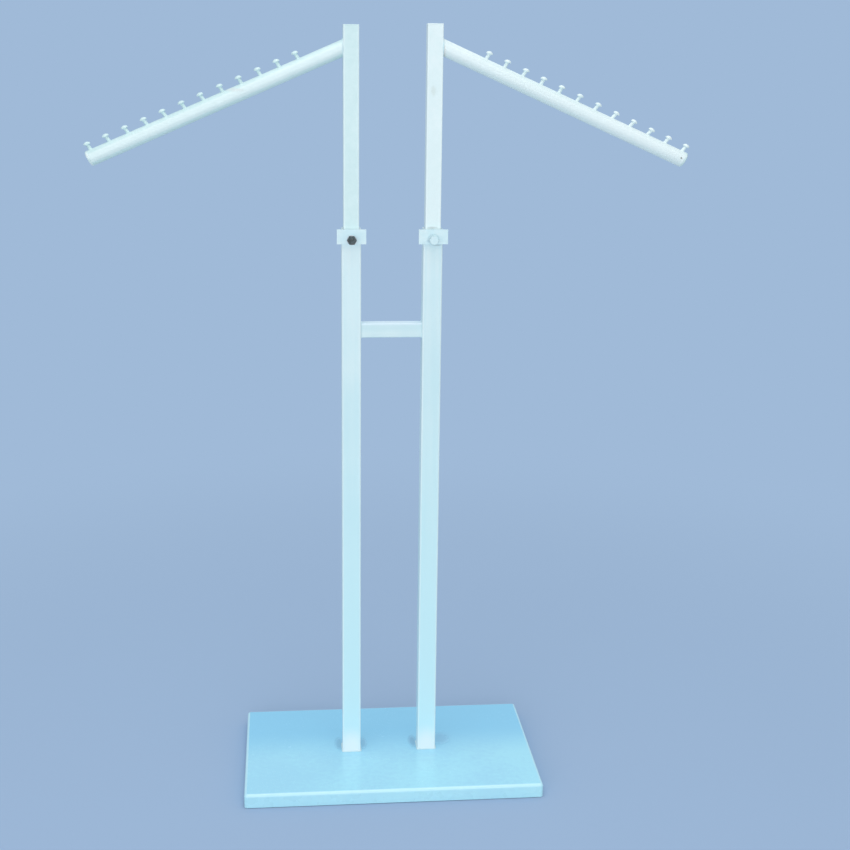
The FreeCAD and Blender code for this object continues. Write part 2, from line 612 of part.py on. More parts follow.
def make_peg(side, sign, number):
    """One mushroom peg, turned about its own +Z, its root in its hole in the arm."""
    body = new_body(f"peg_{side}_{number:02d}")
    shank = add_sketch(body, "Shank")
    add_circle(shank, "peg_shank")
    under_head = "(peg_root + peg_rise - peg_dome - peg_rim)"
    pad(body, shank, under_head, "ShankPad")
    head = add_sketch(body, "Head", "XZ_Plane")
    radius, foot = measure("peg_head / 2"), measure(under_head)
    rim, top = foot + measure("peg_rim"), foot + measure("peg_rim + peg_dome")
    points = [(0, foot), (radius, foot), (radius, rim), (0, top)]
    for start, end in ((0, 1), (1, 2)):
        line = Part.LineSegment(FreeCAD.Vector(*points[start], 0), FreeCAD.Vector(*points[end], 0))
        head.addGeometry(line, False)
    ball = (radius ** 2 + (top - rim) ** 2) / (2 * (top - rim))
    shoulder = FreeCAD.Vector(radius / 2, top - ball + (ball ** 2 - radius ** 2 / 4) ** 0.5, 0)
    dome = Part.Arc(FreeCAD.Vector(*points[2], 0), shoulder, FreeCAD.Vector(*points[3], 0))
    head.addGeometry(dome, False)
    head.addGeometry(Part.LineSegment(FreeCAD.Vector(*points[3], 0), FreeCAD.Vector(*points[0], 0)), False)
    for line, end, following, start in ((0, 2, 1, 1), (1, 2, 2, 1), (2, 2, 3, 1), (3, 2, 0, 1)):
        head.addConstraint(Sketcher.Constraint("Coincident", line, end, following, start))
    head.addConstraint(Sketcher.Constraint("Horizontal", 0))
    head.addConstraint(Sketcher.Constraint("Vertical", 1))
    head.addConstraint(Sketcher.Constraint("PointOnObject", 0, 1, -2))
    head.addConstraint(Sketcher.Constraint("PointOnObject", 3, 1, -2))
    head.addConstraint(Sketcher.Constraint("PointOnObject", 2, 3, -2))
    name_size(head, Sketcher.Constraint("DistanceX", 0, 1, 0, 2, radius), "radius", "peg_head / 2")
    name_size(head, Sketcher.Constraint("DistanceY", 1, 1, 1, 2, rim - foot), "rim", "peg_rim")
    name_size(head, Sketcher.Constraint("DistanceY", -1, 1, 0, 1, foot), "foot", under_head)
    name_size(head, Sketcher.Constraint("DistanceY", 0, 1, 3, 1, top - foot), "rise", "peg_rim + peg_dome")
    doc.recompute()
    turned = body.newObject("PartDesign::Revolution", "HeadTurning")
    turned.Profile = head
    turned.ReferenceAxis = (head, ["V_Axis"])
    turned.Angle = 360
    doc.recompute()

    along = f"(first_peg + {number - 1} * peg_pitch - peg_root * tan(peg_lean))"
    x, z = on_arm(side, sign, along, "(arm_diameter / 2 - peg_root)")
    place(body, x, "0", z, FreeCAD.Vector(0, sign, 0), "arm_slope + peg_lean")


def check(items):
    """Stop unless every object is in order and every sub-part has a valid shape."""
    for item in doc.Objects:
        if "Invalid" in item.State or "Error" in item.State:
            raise RuntimeError(f"{item.Name}: {item.State}")
    for item in items:
        if item.Shape.isNull() or not item.Shape.isValid() or not item.Shape.Solids:
            raise RuntimeError(f"{item.Label}: no valid solid")


def write(items):
    """Write each sub-part to its own STEP file, named for its node."""
    os.makedirs("parts", exist_ok=True)
    for item in items:
        item.Shape.exportStep(f"parts/{item.Label}.step")
        print(f"{item.Label}: {len(item.Shape.Solids)} solid(s), {item.Shape.Volume / 1000:.1f} cm3")


make_base_tray()
for glide, (glide_x, glide_y) in GLIDE_PLACES.items():
    make_glide(glide, glide_x, glide_y)
make_base_fasteners()
make_crossbar()
for post_side, post_sign in SIDES.items():
    make_base_channel(post_side, post_sign)
    make_post_foot(post_side, post_sign)
    make_outer_post(post_side, post_sign)
    make_guide_bush(post_side, post_sign)
    make_clamp(post_side, post_sign)
    make_inner_post(post_side, post_sign)
    make_arm(post_side, post_sign)
    make_arm_cap(post_side, post_sign)
    for peg_number in range(1, PEGS_PER_ARM + 1):
        make_peg(post_side, post_sign, peg_number)
doc.recompute()
check(nodes)
write(nodes)
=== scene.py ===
"""Looks of a two-arm display stand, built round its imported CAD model.

The stand is sprayed white over steel: a folded base tray, an H-frame of square tube, two telescopic
posts and two sloping arms with mushroom pegs. Units are metres, +Z is up, X runs along the arms and
-Y is the front.
"""
import logging
import math
from collections.abc import Callable, Sequence
from dataclasses import dataclass, field
from enum import Enum
from typing import Any

import bpy
from mathutils import Matrix, Vector


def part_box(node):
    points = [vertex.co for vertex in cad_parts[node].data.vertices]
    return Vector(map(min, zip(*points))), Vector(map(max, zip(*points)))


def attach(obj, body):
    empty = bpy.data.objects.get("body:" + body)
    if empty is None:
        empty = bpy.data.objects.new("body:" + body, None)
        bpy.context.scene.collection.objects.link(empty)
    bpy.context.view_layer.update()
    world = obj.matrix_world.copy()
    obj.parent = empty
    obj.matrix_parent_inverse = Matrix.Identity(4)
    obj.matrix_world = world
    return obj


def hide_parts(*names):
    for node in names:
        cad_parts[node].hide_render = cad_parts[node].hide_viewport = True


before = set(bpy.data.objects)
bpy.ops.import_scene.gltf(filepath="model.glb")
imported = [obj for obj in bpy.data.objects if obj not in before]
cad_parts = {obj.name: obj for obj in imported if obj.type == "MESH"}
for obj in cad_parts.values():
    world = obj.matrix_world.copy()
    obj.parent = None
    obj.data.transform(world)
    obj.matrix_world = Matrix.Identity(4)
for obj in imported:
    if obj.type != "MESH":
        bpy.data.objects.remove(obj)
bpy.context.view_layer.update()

log = logging.getLogger("display_stand")

Colour = tuple[float, float, float]
Point = tuple[float, float, float]
Flat = tuple[float, float]
Face = tuple[int, ...]
Ring = list[Vector]
Line = tuple[Sequence[Vector], bool]
MM = 0.001


def mm(*sizes: float) -> tuple[float, ...]:
    """Sizes in millimetres, turned into metres."""
    return tuple(size * MM for size in sizes)


class Side(Enum):
    """The two sides of the stand, with the sign of X on each."""

    LEFT = -1
    RIGHT = 1

    @property
    def word(self) -> str:
        """The side's name, as it stands in the names of nodes and bodies."""
        return self.name.lower()

    def node(self, stem: str) -> str:
        """The name of this side's copy of a node."""
        return f"{stem}_{self.word}"


class Run(Enum):
    """The way in which a piece's brush marks and runs lie, as a stretch of the pattern in X, Y, Z."""

    UPRIGHT = (1.0, 1.0, 0.03)
    ACROSS = (0.03, 1.0, 1.0)
    NONE = (1.0, 1.0, 1.0)


# ---------------------------------------------------------------- node trees and their maths


class Wire:
    """An output socket of a node tree, with arithmetic that adds the nodes it needs.

    Numbers go through Math nodes and vectors through Vector Math nodes.
    """

    def __init__(self, owner: "Tree", socket: bpy.types.NodeSocket) -> None:
        """Wrap a socket of the owner's tree."""
        self.owner = owner
        self.socket = socket

    def _calculate(self, operation: str, *values: "Wire | float | Point") -> "Wire":
        """Add one Math or Vector Math node.

        Args:
            operation: the node's operation.
            values: its inputs, in order.

        Returns:
            The node's result.
        """
        is_vector = self.socket.type == "VECTOR" or any(isinstance(value, tuple) for value in values)
        kind = "ShaderNodeVectorMath" if is_vector else "ShaderNodeMath"
        return self.owner.node(kind, {"operation": operation}, dict(enumerate(values)))

    def __add__(self, other: "Wire | float | Point") -> "Wire":
        """Add."""
        return self._calculate("ADD", self, other)

    __radd__ = __add__

    def __sub__(self, other: "Wire | float | Point") -> "Wire":
        """Subtract."""
        return self._calculate("SUBTRACT", self, other)

    def __rsub__(self, other: "Wire | float | Point") -> "Wire":
        """Subtract this from a number or a point."""
        return self._calculate("SUBTRACT", other, self)

    def __mul__(self, other: "Wire | float | Point") -> "Wire":
        """Multiply."""
        return self._calculate("MULTIPLY", self, other)

    __rmul__ = __mul__

    def __truediv__(self, other: "Wire | float | Point") -> "Wire":
        """Divide."""
        return self._calculate("DIVIDE", self, other)

    def __abs__(self) -> "Wire":
        """Drop the sign."""
        return self._calculate("ABSOLUTE", self)

    def most(self, other: "Wire | float") -> "Wire":
        """The larger of the two."""
        return self._calculate("MAXIMUM", self, other)

    def least(self, other: "Wire | float") -> "Wire":
        """The smaller of the two."""
        return self._calculate("MINIMUM", self, other)

    def fraction(self) -> "Wire":
        """What is left past the whole number."""
        return self._calculate("FRACT", self)

    def length(self) -> "Wire":
        """A vector's length."""
        settings = {"operation": "LENGTH"}
        return self.owner.node("ShaderNodeVectorMath", settings, {0: self}, output="Value")

    def step(self, start: float, end: float) -> "Wire":
        """Rise smoothly from 0 to 1.

        Args:
            start: the value at which the result is 0.
            end: the value at which the result is 1; it may be below start.

        Returns:
            The result, held between 0 and 1.
        """
        settings = {"interpolation_type": "SMOOTHSTEP"}
        inputs = {"Value": self, "From Min": start, "From Max": end}
        return self.owner.node("ShaderNodeMapRange", settings, inputs)


class Tree:
    """A node tree under construction, with one method that adds any node."""

    def __init__(self, tree: bpy.types.NodeTree) -> None:
        """Take an empty tree."""
        self.tree = tree

    def node(self, kind: str, settings: dict[str, Any], inputs: dict[int | str, Any],
             output: int | str = 0) -> Wire:
        """Add a node.

        Args:
            kind: the node's type.
            settings: its properties, set before its inputs.
            inputs: a value, a tuple or a Wire for each input that isn't left as it is.
            output: the name or number of the output that is wanted.

        Returns:
            That output.
        """
        made = self.tree.nodes.new(kind)
        for name, value in settings.items():
            setattr(made, name, value)
        for name, value in inputs.items():
            socket = made.inputs[name]
            if isinstance(value, Wire):
                self.tree.links.new(value.socket, socket)
            elif socket.type == "RGBA":
                socket.default_value = (*value[:3], 1.0)
            else:
                socket.default_value = value
        return Wire(self, made.outputs[output])


class Shader(Tree):
    """A material under construction."""

    def __init__(self, name: str, world: bpy.types.World | None = None) -> None:
        """Start a material.

        Args:
            name: the material's name.
            world: the world whose background this is, if it isn't a material.
        """
        self.material = world or bpy.data.materials.new(name)
        self.material.use_nodes = True
        super().__init__(self.material.node_tree)
        self.tree.nodes.clear()
        coordinates = self.tree.nodes.new("ShaderNodeTexCoord")
        self.place = Wire(self, coordinates.outputs["Object"])

    def axis(self, letter: str) -> Wire:
        """One coordinate of the piece's own space."""
        return self.node("ShaderNodeSeparateXYZ", {}, {0: self.place}, output=letter)

    def noise(self, scale: float, detail: float = 2.0, stretch: Point = (1.0, 1.0, 1.0),
              distortion: float = 0.0, shift: Point = (0.0, 0.0, 0.0)) -> Wire:
        """Add a noise pattern.

        Args:
            scale: how many blotches there are in a metre.
            detail: how many finer layers it has.
            stretch: a factor for the pattern's density in X, Y and Z.
            distortion: how much it is warped.
            shift: where the pattern starts, so that two patterns differ.

        Returns:
            The noise, about 0.5 on average.
        """
        where = self.place * stretch + shift
        return self.node("ShaderNodeTexNoise", {},
                         {"Vector": where, "Scale": scale, "Detail": detail, "Distortion": distortion})

    def mix(self, share: Wire, first: "Wire | Colour", second: "Wire | Colour") -> Wire:
        """Blend two colours.

        Args:
            share: 0 for the first colour, 1 for the second.
            first: a colour or a wire that carries one.
            second: the other.

        Returns:
            The blend.
        """
        return self.node("ShaderNodeMix", {"data_type": "RGBA"}, {0: share, 6: first, 7: second}, output=2)

    def bump(self, height: Wire, distance: float) -> Wire:
        """Turn a height, 0 to 1, into a normal; distance is how high 1 is, in metres."""
        return self.node("ShaderNodeBump", {}, {"Height": height, "Distance": distance, "Strength": 1.0})

    def finish(self, changing: dict[str, Any], fixed: dict[str, Any] | None = None) -> bpy.types.Material:
        """Add the surface itself.

        Args:
            changing: inputs of the surface that vary, such as its colour.
            fixed: inputs that are the same all over.

        Returns:
            The finished material.
        """
        self.close(self.node("ShaderNodeBsdfPrincipled", {}, {**(fixed or {}), **changing}))
        return self.material

    def close(self, surface: Wire) -> None:
        """Join a surface to the material's output.

        Args:
            surface: the surface's shader.
        """
        is_world = isinstance(self.material, bpy.types.World)
        end = self.tree.nodes.new("ShaderNodeOutputWorld" if is_world else "ShaderNodeOutputMaterial")
        self.tree.links.new(surface.socket, end.inputs["Surface"])


Mask = Callable[[Shader], Wire]


def linear(red: int, green: int, blue: int) -> Colour:
    """Turn a colour as it is seen, 0 to 255, into the light that it stands for.

    Args:
        red: its red.
        green: its green.
        blue: its blue.

    Returns:
        The linear colour, 0 to 1.
    """
    def one(level: int) -> float:
        """Turn one channel."""
        share = level / 255
        return share / 12.92 if share <= 0.04045 else ((share + 0.055) / 1.055) ** 2.4
    return one(red), one(green), one(blue)


# ---------------------------------------------------------------- finishes


@dataclass(frozen=True)
class Spot:
    """A stain, a grey mark, a painted shadow or a painted highlight at one place."""

    place: Point
    reach: Point
    colour: Colour
    strength: float
    ragged: float = 0.9

    def mask(self, shader: Shader) -> Wire:
        """Add a mask of how much of the spot shows.

        Args:
            shader: the material that the spot is on.

        Returns:
            The mask, 0 to 1, with a ragged or a soft edge.
        """
        inside = 1.0 - ((shader.place - self.place) / self.reach).length()
        ragged = inside + (shader.noise(260.0, detail=4.0, shift=self.place) - 0.5) * self.ragged
        return ragged.step(0.05, 0.75) * self.strength


@dataclass(frozen=True)
class Paint:
    """White enamel, sprayed over steel: soft clouds, runs, orange peel and dust, a painted highlight on
    chosen edges and a painted ramp of light and shade.
    """

    name: str
    colour: Colour
    shade: Colour
    run: Run = Run.NONE
    gloss: float = 0.34
    coat: float = 0.25
    grime: float = 0.10
    peel: float = 0.06 * MM
    spots: tuple[Spot, ...] = ()
    # The edge mask, its colour and its strength paint a highlight; the ramp mask and its colour paint a ramp
    # of light and shade.
    edges: Mask | None = None
    edge_colour: Colour = (0.85, 0.96, 0.98)
    rubbed: float = 0.5
    fade: Mask | None = None
    faded: Colour = (1.0, 1.0, 1.0)

    def build(self) -> bpy.types.Material:
        """Build the material.

        Returns:
            The material.
        """
        shader = Shader(self.name)
        clouds = shader.noise(5.0, detail=3.0, distortion=0.4)
        runs = shader.noise(90.0, detail=2.0, stretch=self.run.value, shift=(3.0, 1.0, 0.0))
        tone = (clouds * 0.65 + runs * 0.35).step(0.36, 0.66)
        colour = shader.mix(tone, self.shade, self.colour)

        dust = shader.noise(420.0, detail=5.0, shift=(0.0, 5.0, 2.0)).step(0.60, 0.76)
        dirt = dust * shader.noise(16.0, detail=3.0, shift=(7.0, 0.0, 1.0)).step(0.42, 0.70)
        colour = shader.mix(dirt * self.grime, colour, linear(150, 138, 118))

        rough = self.gloss + (shader.noise(34.0, detail=4.0) - 0.5) * 0.14 + dirt * 0.2
        # Painted ramp of light and shade: the mask blends in one colour.
        if self.fade is not None:
            colour = shader.mix(self.fade(shader), colour, self.faded)
        if self.edges is not None:
            # Painted highlight on the masked edges, broken up by noise.
            highlight_breakup = shader.noise(40.0, detail=3.0, shift=(1.0, 9.0, 4.0)) * 0.7 + 0.65
            edge_highlight = (self.edges(shader) * highlight_breakup).least(1.0)
            colour = shader.mix(edge_highlight * self.rubbed, colour, self.edge_colour)
            rough = rough + edge_highlight * 0.08
        for spot in self.spots:
            mask = spot.mask(shader)
            colour = shader.mix(mask, colour, spot.colour)
            rough = rough + mask * 0.18

        peel = shader.noise(700.0, detail=1.0)
        sag = shader.noise(42.0, detail=1.0, stretch=self.run.value)
        normal = shader.bump(peel + sag * 5.0, distance=self.peel)
        return shader.finish(
            {"Base Color": colour, "Roughness": rough.least(0.8).most(0.12), "Normal": normal},
            {"Coat Weight": self.coat, "Coat Roughness": 0.16, "IOR": 1.5})


@dataclass(frozen=True)
class Steel:
    """Bare or plated steel, with its rolling marks and rust where the plate has gone."""

    name: str
    colour: Colour
    dark: Colour
    rust: Colour
    rusty: float
    roughness: float
    metal: float = 1.0
    grain: float = 0.06 * MM

    def build(self) -> bpy.types.Material:
        """Build the material.

        Returns:
            The material.
        """
        shader = Shader(self.name)
        blotch = shader.noise(240.0, detail=5.0, distortion=0.6)
        lines = shader.noise(2600.0, detail=2.0)
        colour = shader.mix(blotch.step(0.35, 0.65), self.dark, self.colour)
        bloom = shader.noise(330.0, detail=6.0, shift=(4.0, 2.0, 8.0)).step(0.52, 0.66) * self.rusty
        colour = shader.mix(bloom, colour, self.rust)
        rough = self.roughness + (blotch - 0.5) * 0.2 + bloom * 0.3
        normal = shader.bump(lines * 0.4 + bloom, distance=self.grain)
        return shader.finish({"Base Color": colour, "Roughness": rough.least(0.95),
                              "Metallic": self.metal * (1.0 - bloom * 0.8), "Normal": normal})


@dataclass(frozen=True)
class Plastic:
    """Moulded plastic, with a fine spark-eroded texture and handling marks."""

    name: str
    colour: Colour
    shade: Colour
    roughness: float = 0.45
    translucency: float = 0.0
    texture: float = 0.03 * MM

    def build(self) -> bpy.types.Material:
        """Build the material.

        Returns:
            The material.
        """
        shader = Shader(self.name)
        cloud = shader.noise(60.0, detail=3.0)
        colour = shader.mix(cloud.step(0.35, 0.65), self.shade, self.colour)
        rough = self.roughness + (shader.noise(180.0, detail=4.0) - 0.5) * 0.16
        normal = shader.bump(shader.noise(3200.0, detail=2.0), distance=self.texture)
        return shader.finish({"Base Color": colour, "Roughness": rough, "Normal": normal},
                             {"Subsurface Weight": self.translucency, "Subsurface Scale": 0.002})


WHITE = linear(219, 240, 244)
WHITE_SHADE = linear(204, 233, 240)
# The tray's light blue is a painted blue cast, a reflection of a blue surround; its own paint is most likely
# the same white.
TRAY_BLUE = linear(171, 235, 255)
TRAY_SHADE = linear(164, 225, 250)
RUST = linear(120, 82, 54)
# Grey of the painted shadow under the right clamp plate.
PLATE_SHADOW_GREY = linear(128, 140, 142)


def dress(node: str, material: bpy.types.Material) -> None:
    """Give a CAD node a material of its own.

    Args:
        node: the node's name.
        material: the material for all of it.
    """
    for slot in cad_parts[node].material_slots:
        slot.material = material


def middle(node: str) -> Vector:
    """The middle of a CAD node's box."""
    low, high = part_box(node)
    return (low + high) / 2


# ---------------------------------------------------------------- meshes and Geometry Nodes


def skin(rings: Sequence[Ring], close_start: bool = False, close_end: bool = False,
         loop: bool = False) -> tuple[list[Vector], list[Face]]:
    """Join closed rings of as many points each into a surface.

    Args:
        rings: the rings in order, each anticlockwise seen from the end that the order runs towards.
        close_start: fill the first ring.
        close_end: fill the last ring.
        loop: join the last ring to the first.

    Returns:
        The points and the faces, which face outwards.
    """
    count = len(rings[0])
    points = [point for ring in rings for point in ring]
    faces: list[Face] = []
    pairs = list(zip(range(len(rings) - 1), range(1, len(rings))))
    if loop:
        pairs.append((len(rings) - 1, 0))
    for first, second in pairs:
        for step in range(count):
            after = (step + 1) % count
            faces.append((first * count + step, first * count + after,
                          second * count + after, second * count + step))
    for close, ring, backwards in ((close_start, 0, True), (close_end, len(rings) - 1, False)):
        if close:
            centre = len(points)
            points.append(sum(rings[ring], Vector()) / count)
            for step in range(count):
                edge = (ring * count + step, ring * count + (step + 1) % count)
                faces.append((centre, *(reversed(edge) if backwards else edge)))
    return points, faces


def circle(radius: float, height: float, segments: int) -> Ring:
    """A level ring of points.

    Args:
        radius: its radius.
        height: its Z.
        segments: how many points it has.

    Returns:
        The ring.
    """
    turns = (2 * math.pi * step / segments for step in range(segments))
    return [Vector((radius * math.cos(turn), radius * math.sin(turn), height)) for turn in turns]


def lathe(profile: Sequence[Flat], segments: int) -> tuple[list[Vector], list[Face]]:
    """Turn a profile about Z.

    Args:
        profile: radius and height of each point, from the bottom's rim to the top's rim.
        segments: how many points there are in a ring.

    Returns:
        The points and faces, with both ends filled.
    """
    return skin([circle(radius, height, segments) for radius, height in profile], True, True)


def arc(centre: Flat, radius: float, start: float, end: float, steps: int = 5) -> list[Flat]:
    """Points along an arc.

    Args:
        centre: its centre.
        radius: its radius.
        start: where it starts, in degrees.
        end: where it ends, in degrees.
        steps: how many spans it has.

    Returns:
        The points.
    """
    turns = (math.radians(start + (end - start) * step / steps) for step in range(steps + 1))
    return [(centre[0] + radius * math.cos(turn), centre[1] + radius * math.sin(turn)) for turn in turns]


def rounded_square(half_x: float, half_y: float, corner: float) -> list[Flat]:
    """A rectangle with round corners, anticlockwise.

    Args:
        half_x: half its width.
        half_y: half its depth.
        corner: its corners' radius.

    Returns:
        Its points.
    """
    points = []
    for x, y, start in ((1, 1, 0), (-1, 1, 90), (-1, -1, 180), (1, -1, 270)):
        points += arc((x * (half_x - corner), y * (half_y - corner)), corner, start, start + 90)
    return points


def piece(name: str, points: Sequence[Vector], faces: Sequence[Face],
          material: bpy.types.Material, smooth_below: float = 35.0) -> bpy.types.Object:
    """Make a mesh object whose place is in its mesh.

    Args:
        name: its name.
        points: its points, where they belong on the stand.
        faces: its faces.
        material: its material.
        smooth_below: faces that meet at a smaller angle than this, in degrees, look smooth.

    Returns:
        The object.
    """
    mesh = bpy.data.meshes.new(name)
    mesh.from_pydata([tuple(point) for point in points], [], [tuple(face) for face in faces])
    mesh.materials.append(material)
    mesh.validate()
    for face in mesh.polygons:
        face.use_smooth = True
    mesh.set_sharp_from_angle(angle=math.radians(smooth_below))
    made = bpy.data.objects.new(name, mesh)
    bpy.context.scene.collection.objects.link(made)
    return made


def fit(item: bpy.types.Object, body: str, slot: str, *replaced: str) -> None:
    """Hang a finished piece on its body.

    Args:
        item: the piece.
        body: the CAD body that it moves with.
        slot: the record's material slot; not used.
        replaced: the CAD nodes that it stands for.
    """
    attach(item, body)
    if replaced:
        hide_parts(*replaced)
    log.info("%s: %d faces on %s", item.name, len(item.data.polygons), body)


class Nodes(Tree):
    """A Geometry Nodes tree under construction, with named inputs for its sizes."""

    KINDS = {float: "NodeSocketFloat", bpy.types.Object: "NodeSocketObject",
             bpy.types.Material: "NodeSocketMaterial"}

    def __init__(self, name: str, **sizes: Any) -> None:
        """Start a tree.

        Args:
            name: the tree's name.
            sizes: the inputs' names and values; a float, an object or a material each.
        """
        super().__init__(bpy.data.node_groups.new(name, "GeometryNodeTree"))
        sockets = self.tree.interface
        sockets.new_socket("Geometry", in_out="INPUT", socket_type="NodeSocketGeometry")
        self.values = {}
        for size, value in sizes.items():
            socket = sockets.new_socket(size, in_out="INPUT", socket_type=self.KINDS[type(value)])
            self.values[socket.identifier] = value
        sockets.new_socket("Geometry", in_out="OUTPUT", socket_type="NodeSocketGeometry")
        self.start = self.tree.nodes.new("NodeGroupInput")

    def size(self, name: str) -> Wire:
        """One of the tree's inputs."""
        return Wire(self, self.start.outputs[name])

    def join(self, *parts: Wire) -> Wire:
        """Join several geometries.

        Args:
            parts: the geometries.

        Returns:
            All of them as one.
        """
        made = self.tree.nodes.new("GeometryNodeJoinGeometry")
        for part in parts:
            self.tree.links.new(part.socket, made.inputs[0])
        return Wire(self, made.outputs[0])

    def tube(self, curve: Wire, sides: int, radius: Wire) -> Wire:
        """Make a closed tube along a curve.

        Args:
            curve: the curve.
            sides: how many sides the tube has.
            radius: its radius.

        Returns:
            The tube.
        """
        ring = self.node("GeometryNodeCurvePrimitiveCircle", {"mode": "RADIUS"},
                         {"Resolution": sides, "Radius": 1.0})
        return self.node("GeometryNodeCurveToMesh", {},
                         {"Curve": curve, "Profile Curve": ring, "Scale": radius, "Fill Caps": True})

    def run(self, result: Wire, start: bpy.types.Object, name: str) -> bpy.types.Object:
        """End the tree, run it and keep its result as a plain mesh with one finish.

        Args:
            result: the geometry that the tree makes.
            start: the object that the tree starts from, which is used up.
            name: the name of the piece.

        Returns:
            The piece.
        """
        real = self.node("GeometryNodeRealizeInstances", {}, {0: result})
        dressed = self.node("GeometryNodeSetMaterial", {},
                            {"Geometry": real, "Material": self.size("Finish")})
        end = self.tree.nodes.new("NodeGroupOutput")
        self.tree.links.new(dressed.socket, end.inputs[0])
        modifier = start.modifiers.new("Nodes", "NODES")
        modifier.node_group = self.tree
        for identifier, value in self.values.items():
            modifier[identifier] = value
        graph = bpy.context.evaluated_depsgraph_get()
        mesh = bpy.data.meshes.new_from_object(start.evaluated_get(graph))
        finish = mesh.materials[mesh.polygons[0].material_index]
        mesh.materials.clear()
        mesh.materials.append(finish)
        mesh.polygons.foreach_set("material_index", [0] * len(mesh.polygons))
        start.modifiers.remove(modifier)
        bpy.data.objects.remove(start)
        mesh.name = name
        made = bpy.data.objects.new(name, mesh)
        bpy.context.scene.collection.objects.link(made)
        return made


def paths(lines: Sequence[Line]) -> bpy.types.Object:
    """Make a mesh of lines of edges, for a tree that follows them.

    Args:
        lines: each line's points, and whether it is closed.

    Returns:
        The object.
    """
    points: list[tuple[float, ...]] = []
    edges: list[tuple[int, int]] = []
    for line, closed in lines:
        first = len(points)
        points += [tuple(point) for point in line]
        edges += [(step, step + 1) for step in range(first, len(points) - 1)]
        if closed:
            edges.append((len(points) - 1, first))
    mesh = bpy.data.meshes.new("path")
    mesh.from_pydata(points, edges, [])
    made = bpy.data.objects.new("path", mesh)
    bpy.context.scene.collection.objects.link(made)
    return made


def weld(name: str, lines: Sequence[Line], radius: float, material: bpy.types.Material,
         body: str = "stand", seed: int = 0) -> None:
    """Run a weld bead along each line, rippled as a hand-held torch leaves it.

    Args:
        name: the piece's name.
        lines: each line's points, and whether it is closed.
        radius: the bead's radius.
        material: its finish.
        body: the CAD body that it moves with.
        seed: a number that makes its unevenness its own.
    """
    nodes = Nodes(name, Radius=radius, Ripple=2.2 * MM, Depth=0.14, Wander=0.18, Seed=float(seed),
                  Finish=material)
    ripple = nodes.size("Ripple")
    curve = nodes.node("GeometryNodeMeshToCurve", {}, {"Mesh": nodes.size("Geometry")})
    even = nodes.node("GeometryNodeResampleCurve", {"mode": "LENGTH"},
                      {"Curve": curve, "Length": ripple * 0.25})
    distance = nodes.node("GeometryNodeSplineParameter", {}, {}, output="Length")
    swell = (distance / ripple).fraction() * nodes.size("Depth")
    noise = nodes.node("ShaderNodeTexNoise", {"noise_dimensions": "4D"},
                       {"Scale": 160.0, "Detail": 2.0, "W": nodes.size("Seed")})
    wander = (noise - 0.5) * nodes.size("Wander")
    bead = nodes.tube(even, 10, (1.0 - swell + wander) * nodes.size("Radius"))
    smooth = nodes.node("GeometryNodeSetShadeSmooth", {}, {"Geometry": bead})
    fit(nodes.run(smooth, paths(lines), name), body, "paint")


def copies(name: str, pattern: bpy.types.Object, places: bpy.types.Object,
           material: bpy.types.Material) -> bpy.types.Object:
    """Set a copy of a pattern at each point, leaning about Y by the point's own lean if it has one.

    Args:
        name: the piece's name.
        pattern: the object to copy, which is used up.
        places: a mesh whose points are the places, with an attribute "lean" in radians or none.
        material: the finish.

    Returns:
        The piece.
    """
    nodes = Nodes(name, Pattern=pattern, Scale=1.0, Finish=material)
    shape = nodes.node("GeometryNodeObjectInfo", {}, {"Object": nodes.size("Pattern")}, output="Geometry")
    lean = nodes.node("GeometryNodeInputNamedAttribute", {"data_type": "FLOAT"}, {"Name": "lean"})
    about = nodes.node("ShaderNodeCombineXYZ", {}, {"Y": lean})
    turn = nodes.node("FunctionNodeEulerToRotation", {}, {"Euler": about})
    placed = nodes.node("GeometryNodeInstanceOnPoints", {},
                        {"Points": nodes.size("Geometry"), "Instance": shape, "Rotation": turn,
                         "Scale": nodes.size("Scale")})
    made = nodes.run(placed, places, name)
    bpy.data.objects.remove(pattern)
    return made


# ---------------------------------------------------------------- the stand's parts

TRAY_BEND = 6 * MM
TRAY_CORNER = 7 * MM
POST_CORNER = 3 * MM
BAR_CORNER = 2 * MM


@dataclass(frozen=True)
class Palette:
    """Every material of the stand, each built once."""

    post: bpy.types.Material
    bar: bpy.types.Material
    fitting: bpy.types.Material
    upper: dict[Side, bpy.types.Material]
    tray: bpy.types.Material
    under: bpy.types.Material
    weld: bpy.types.Material
    painted_bolt: bpy.types.Material
    dark_bolt: bpy.types.Material
    zinc: bpy.types.Material
    nylon: bpy.types.Material
    cap: bpy.types.Material


@dataclass
class HexHead:
    """A hexagon with the chamfer of a turned blank, about Z, with its seat at Z = 0."""

    flats: float = 17 * MM
    height: float = 6.4 * MM
    crown: float = 0.94
    chamfer: float = 30.0
    washer_face: float = 0.4 * MM
    segments: int = 72

    def reach(self, turn: float) -> float:
        """The distance from the axis to the hexagon's side, in one direction; its corners are on X."""
        return self.flats / 2 / math.cos(turn % (math.pi / 3) - math.pi / 6)

    def ring(self, level: float, direction: int = 0) -> Ring:
        """The hexagon's outline, at one height or where its sides meet the chamfer's cone.

        Args:
            level: the height of the outline, or of the face that the chamfer surrounds.
            direction: 1 for the crown, -1 for the seat, 0 for no chamfer.

        Returns:
            The outline.
        """
        points = []
        for step in range(self.segments):
            turn = 2 * math.pi * step / self.segments
            far = self.reach(turn)
            drop = (far - self.flats / 2 * self.crown) * math.tan(math.radians(self.chamfer))
            points.append(Vector((far * math.cos(turn), far * math.sin(turn), level - direction * drop)))
        return points

    def rings(self, chamfer_seat: bool = False) -> list[Ring]:
        """The head's rings, from its seat to its crown.

        Args:
            chamfer_seat: chamfer the seat too, as on a nut.

        Returns:
            The rings.
        """
        face = self.flats / 2 * self.crown
        rings = [circle(face, 0.0, self.segments)]
        if chamfer_seat:
            rings.append(self.ring(0.0, -1))
        else:
            rings += [circle(face, self.washer_face, self.segments), self.ring(self.washer_face)]
        return rings + [self.ring(self.height, 1), circle(face, self.height, self.segments)]


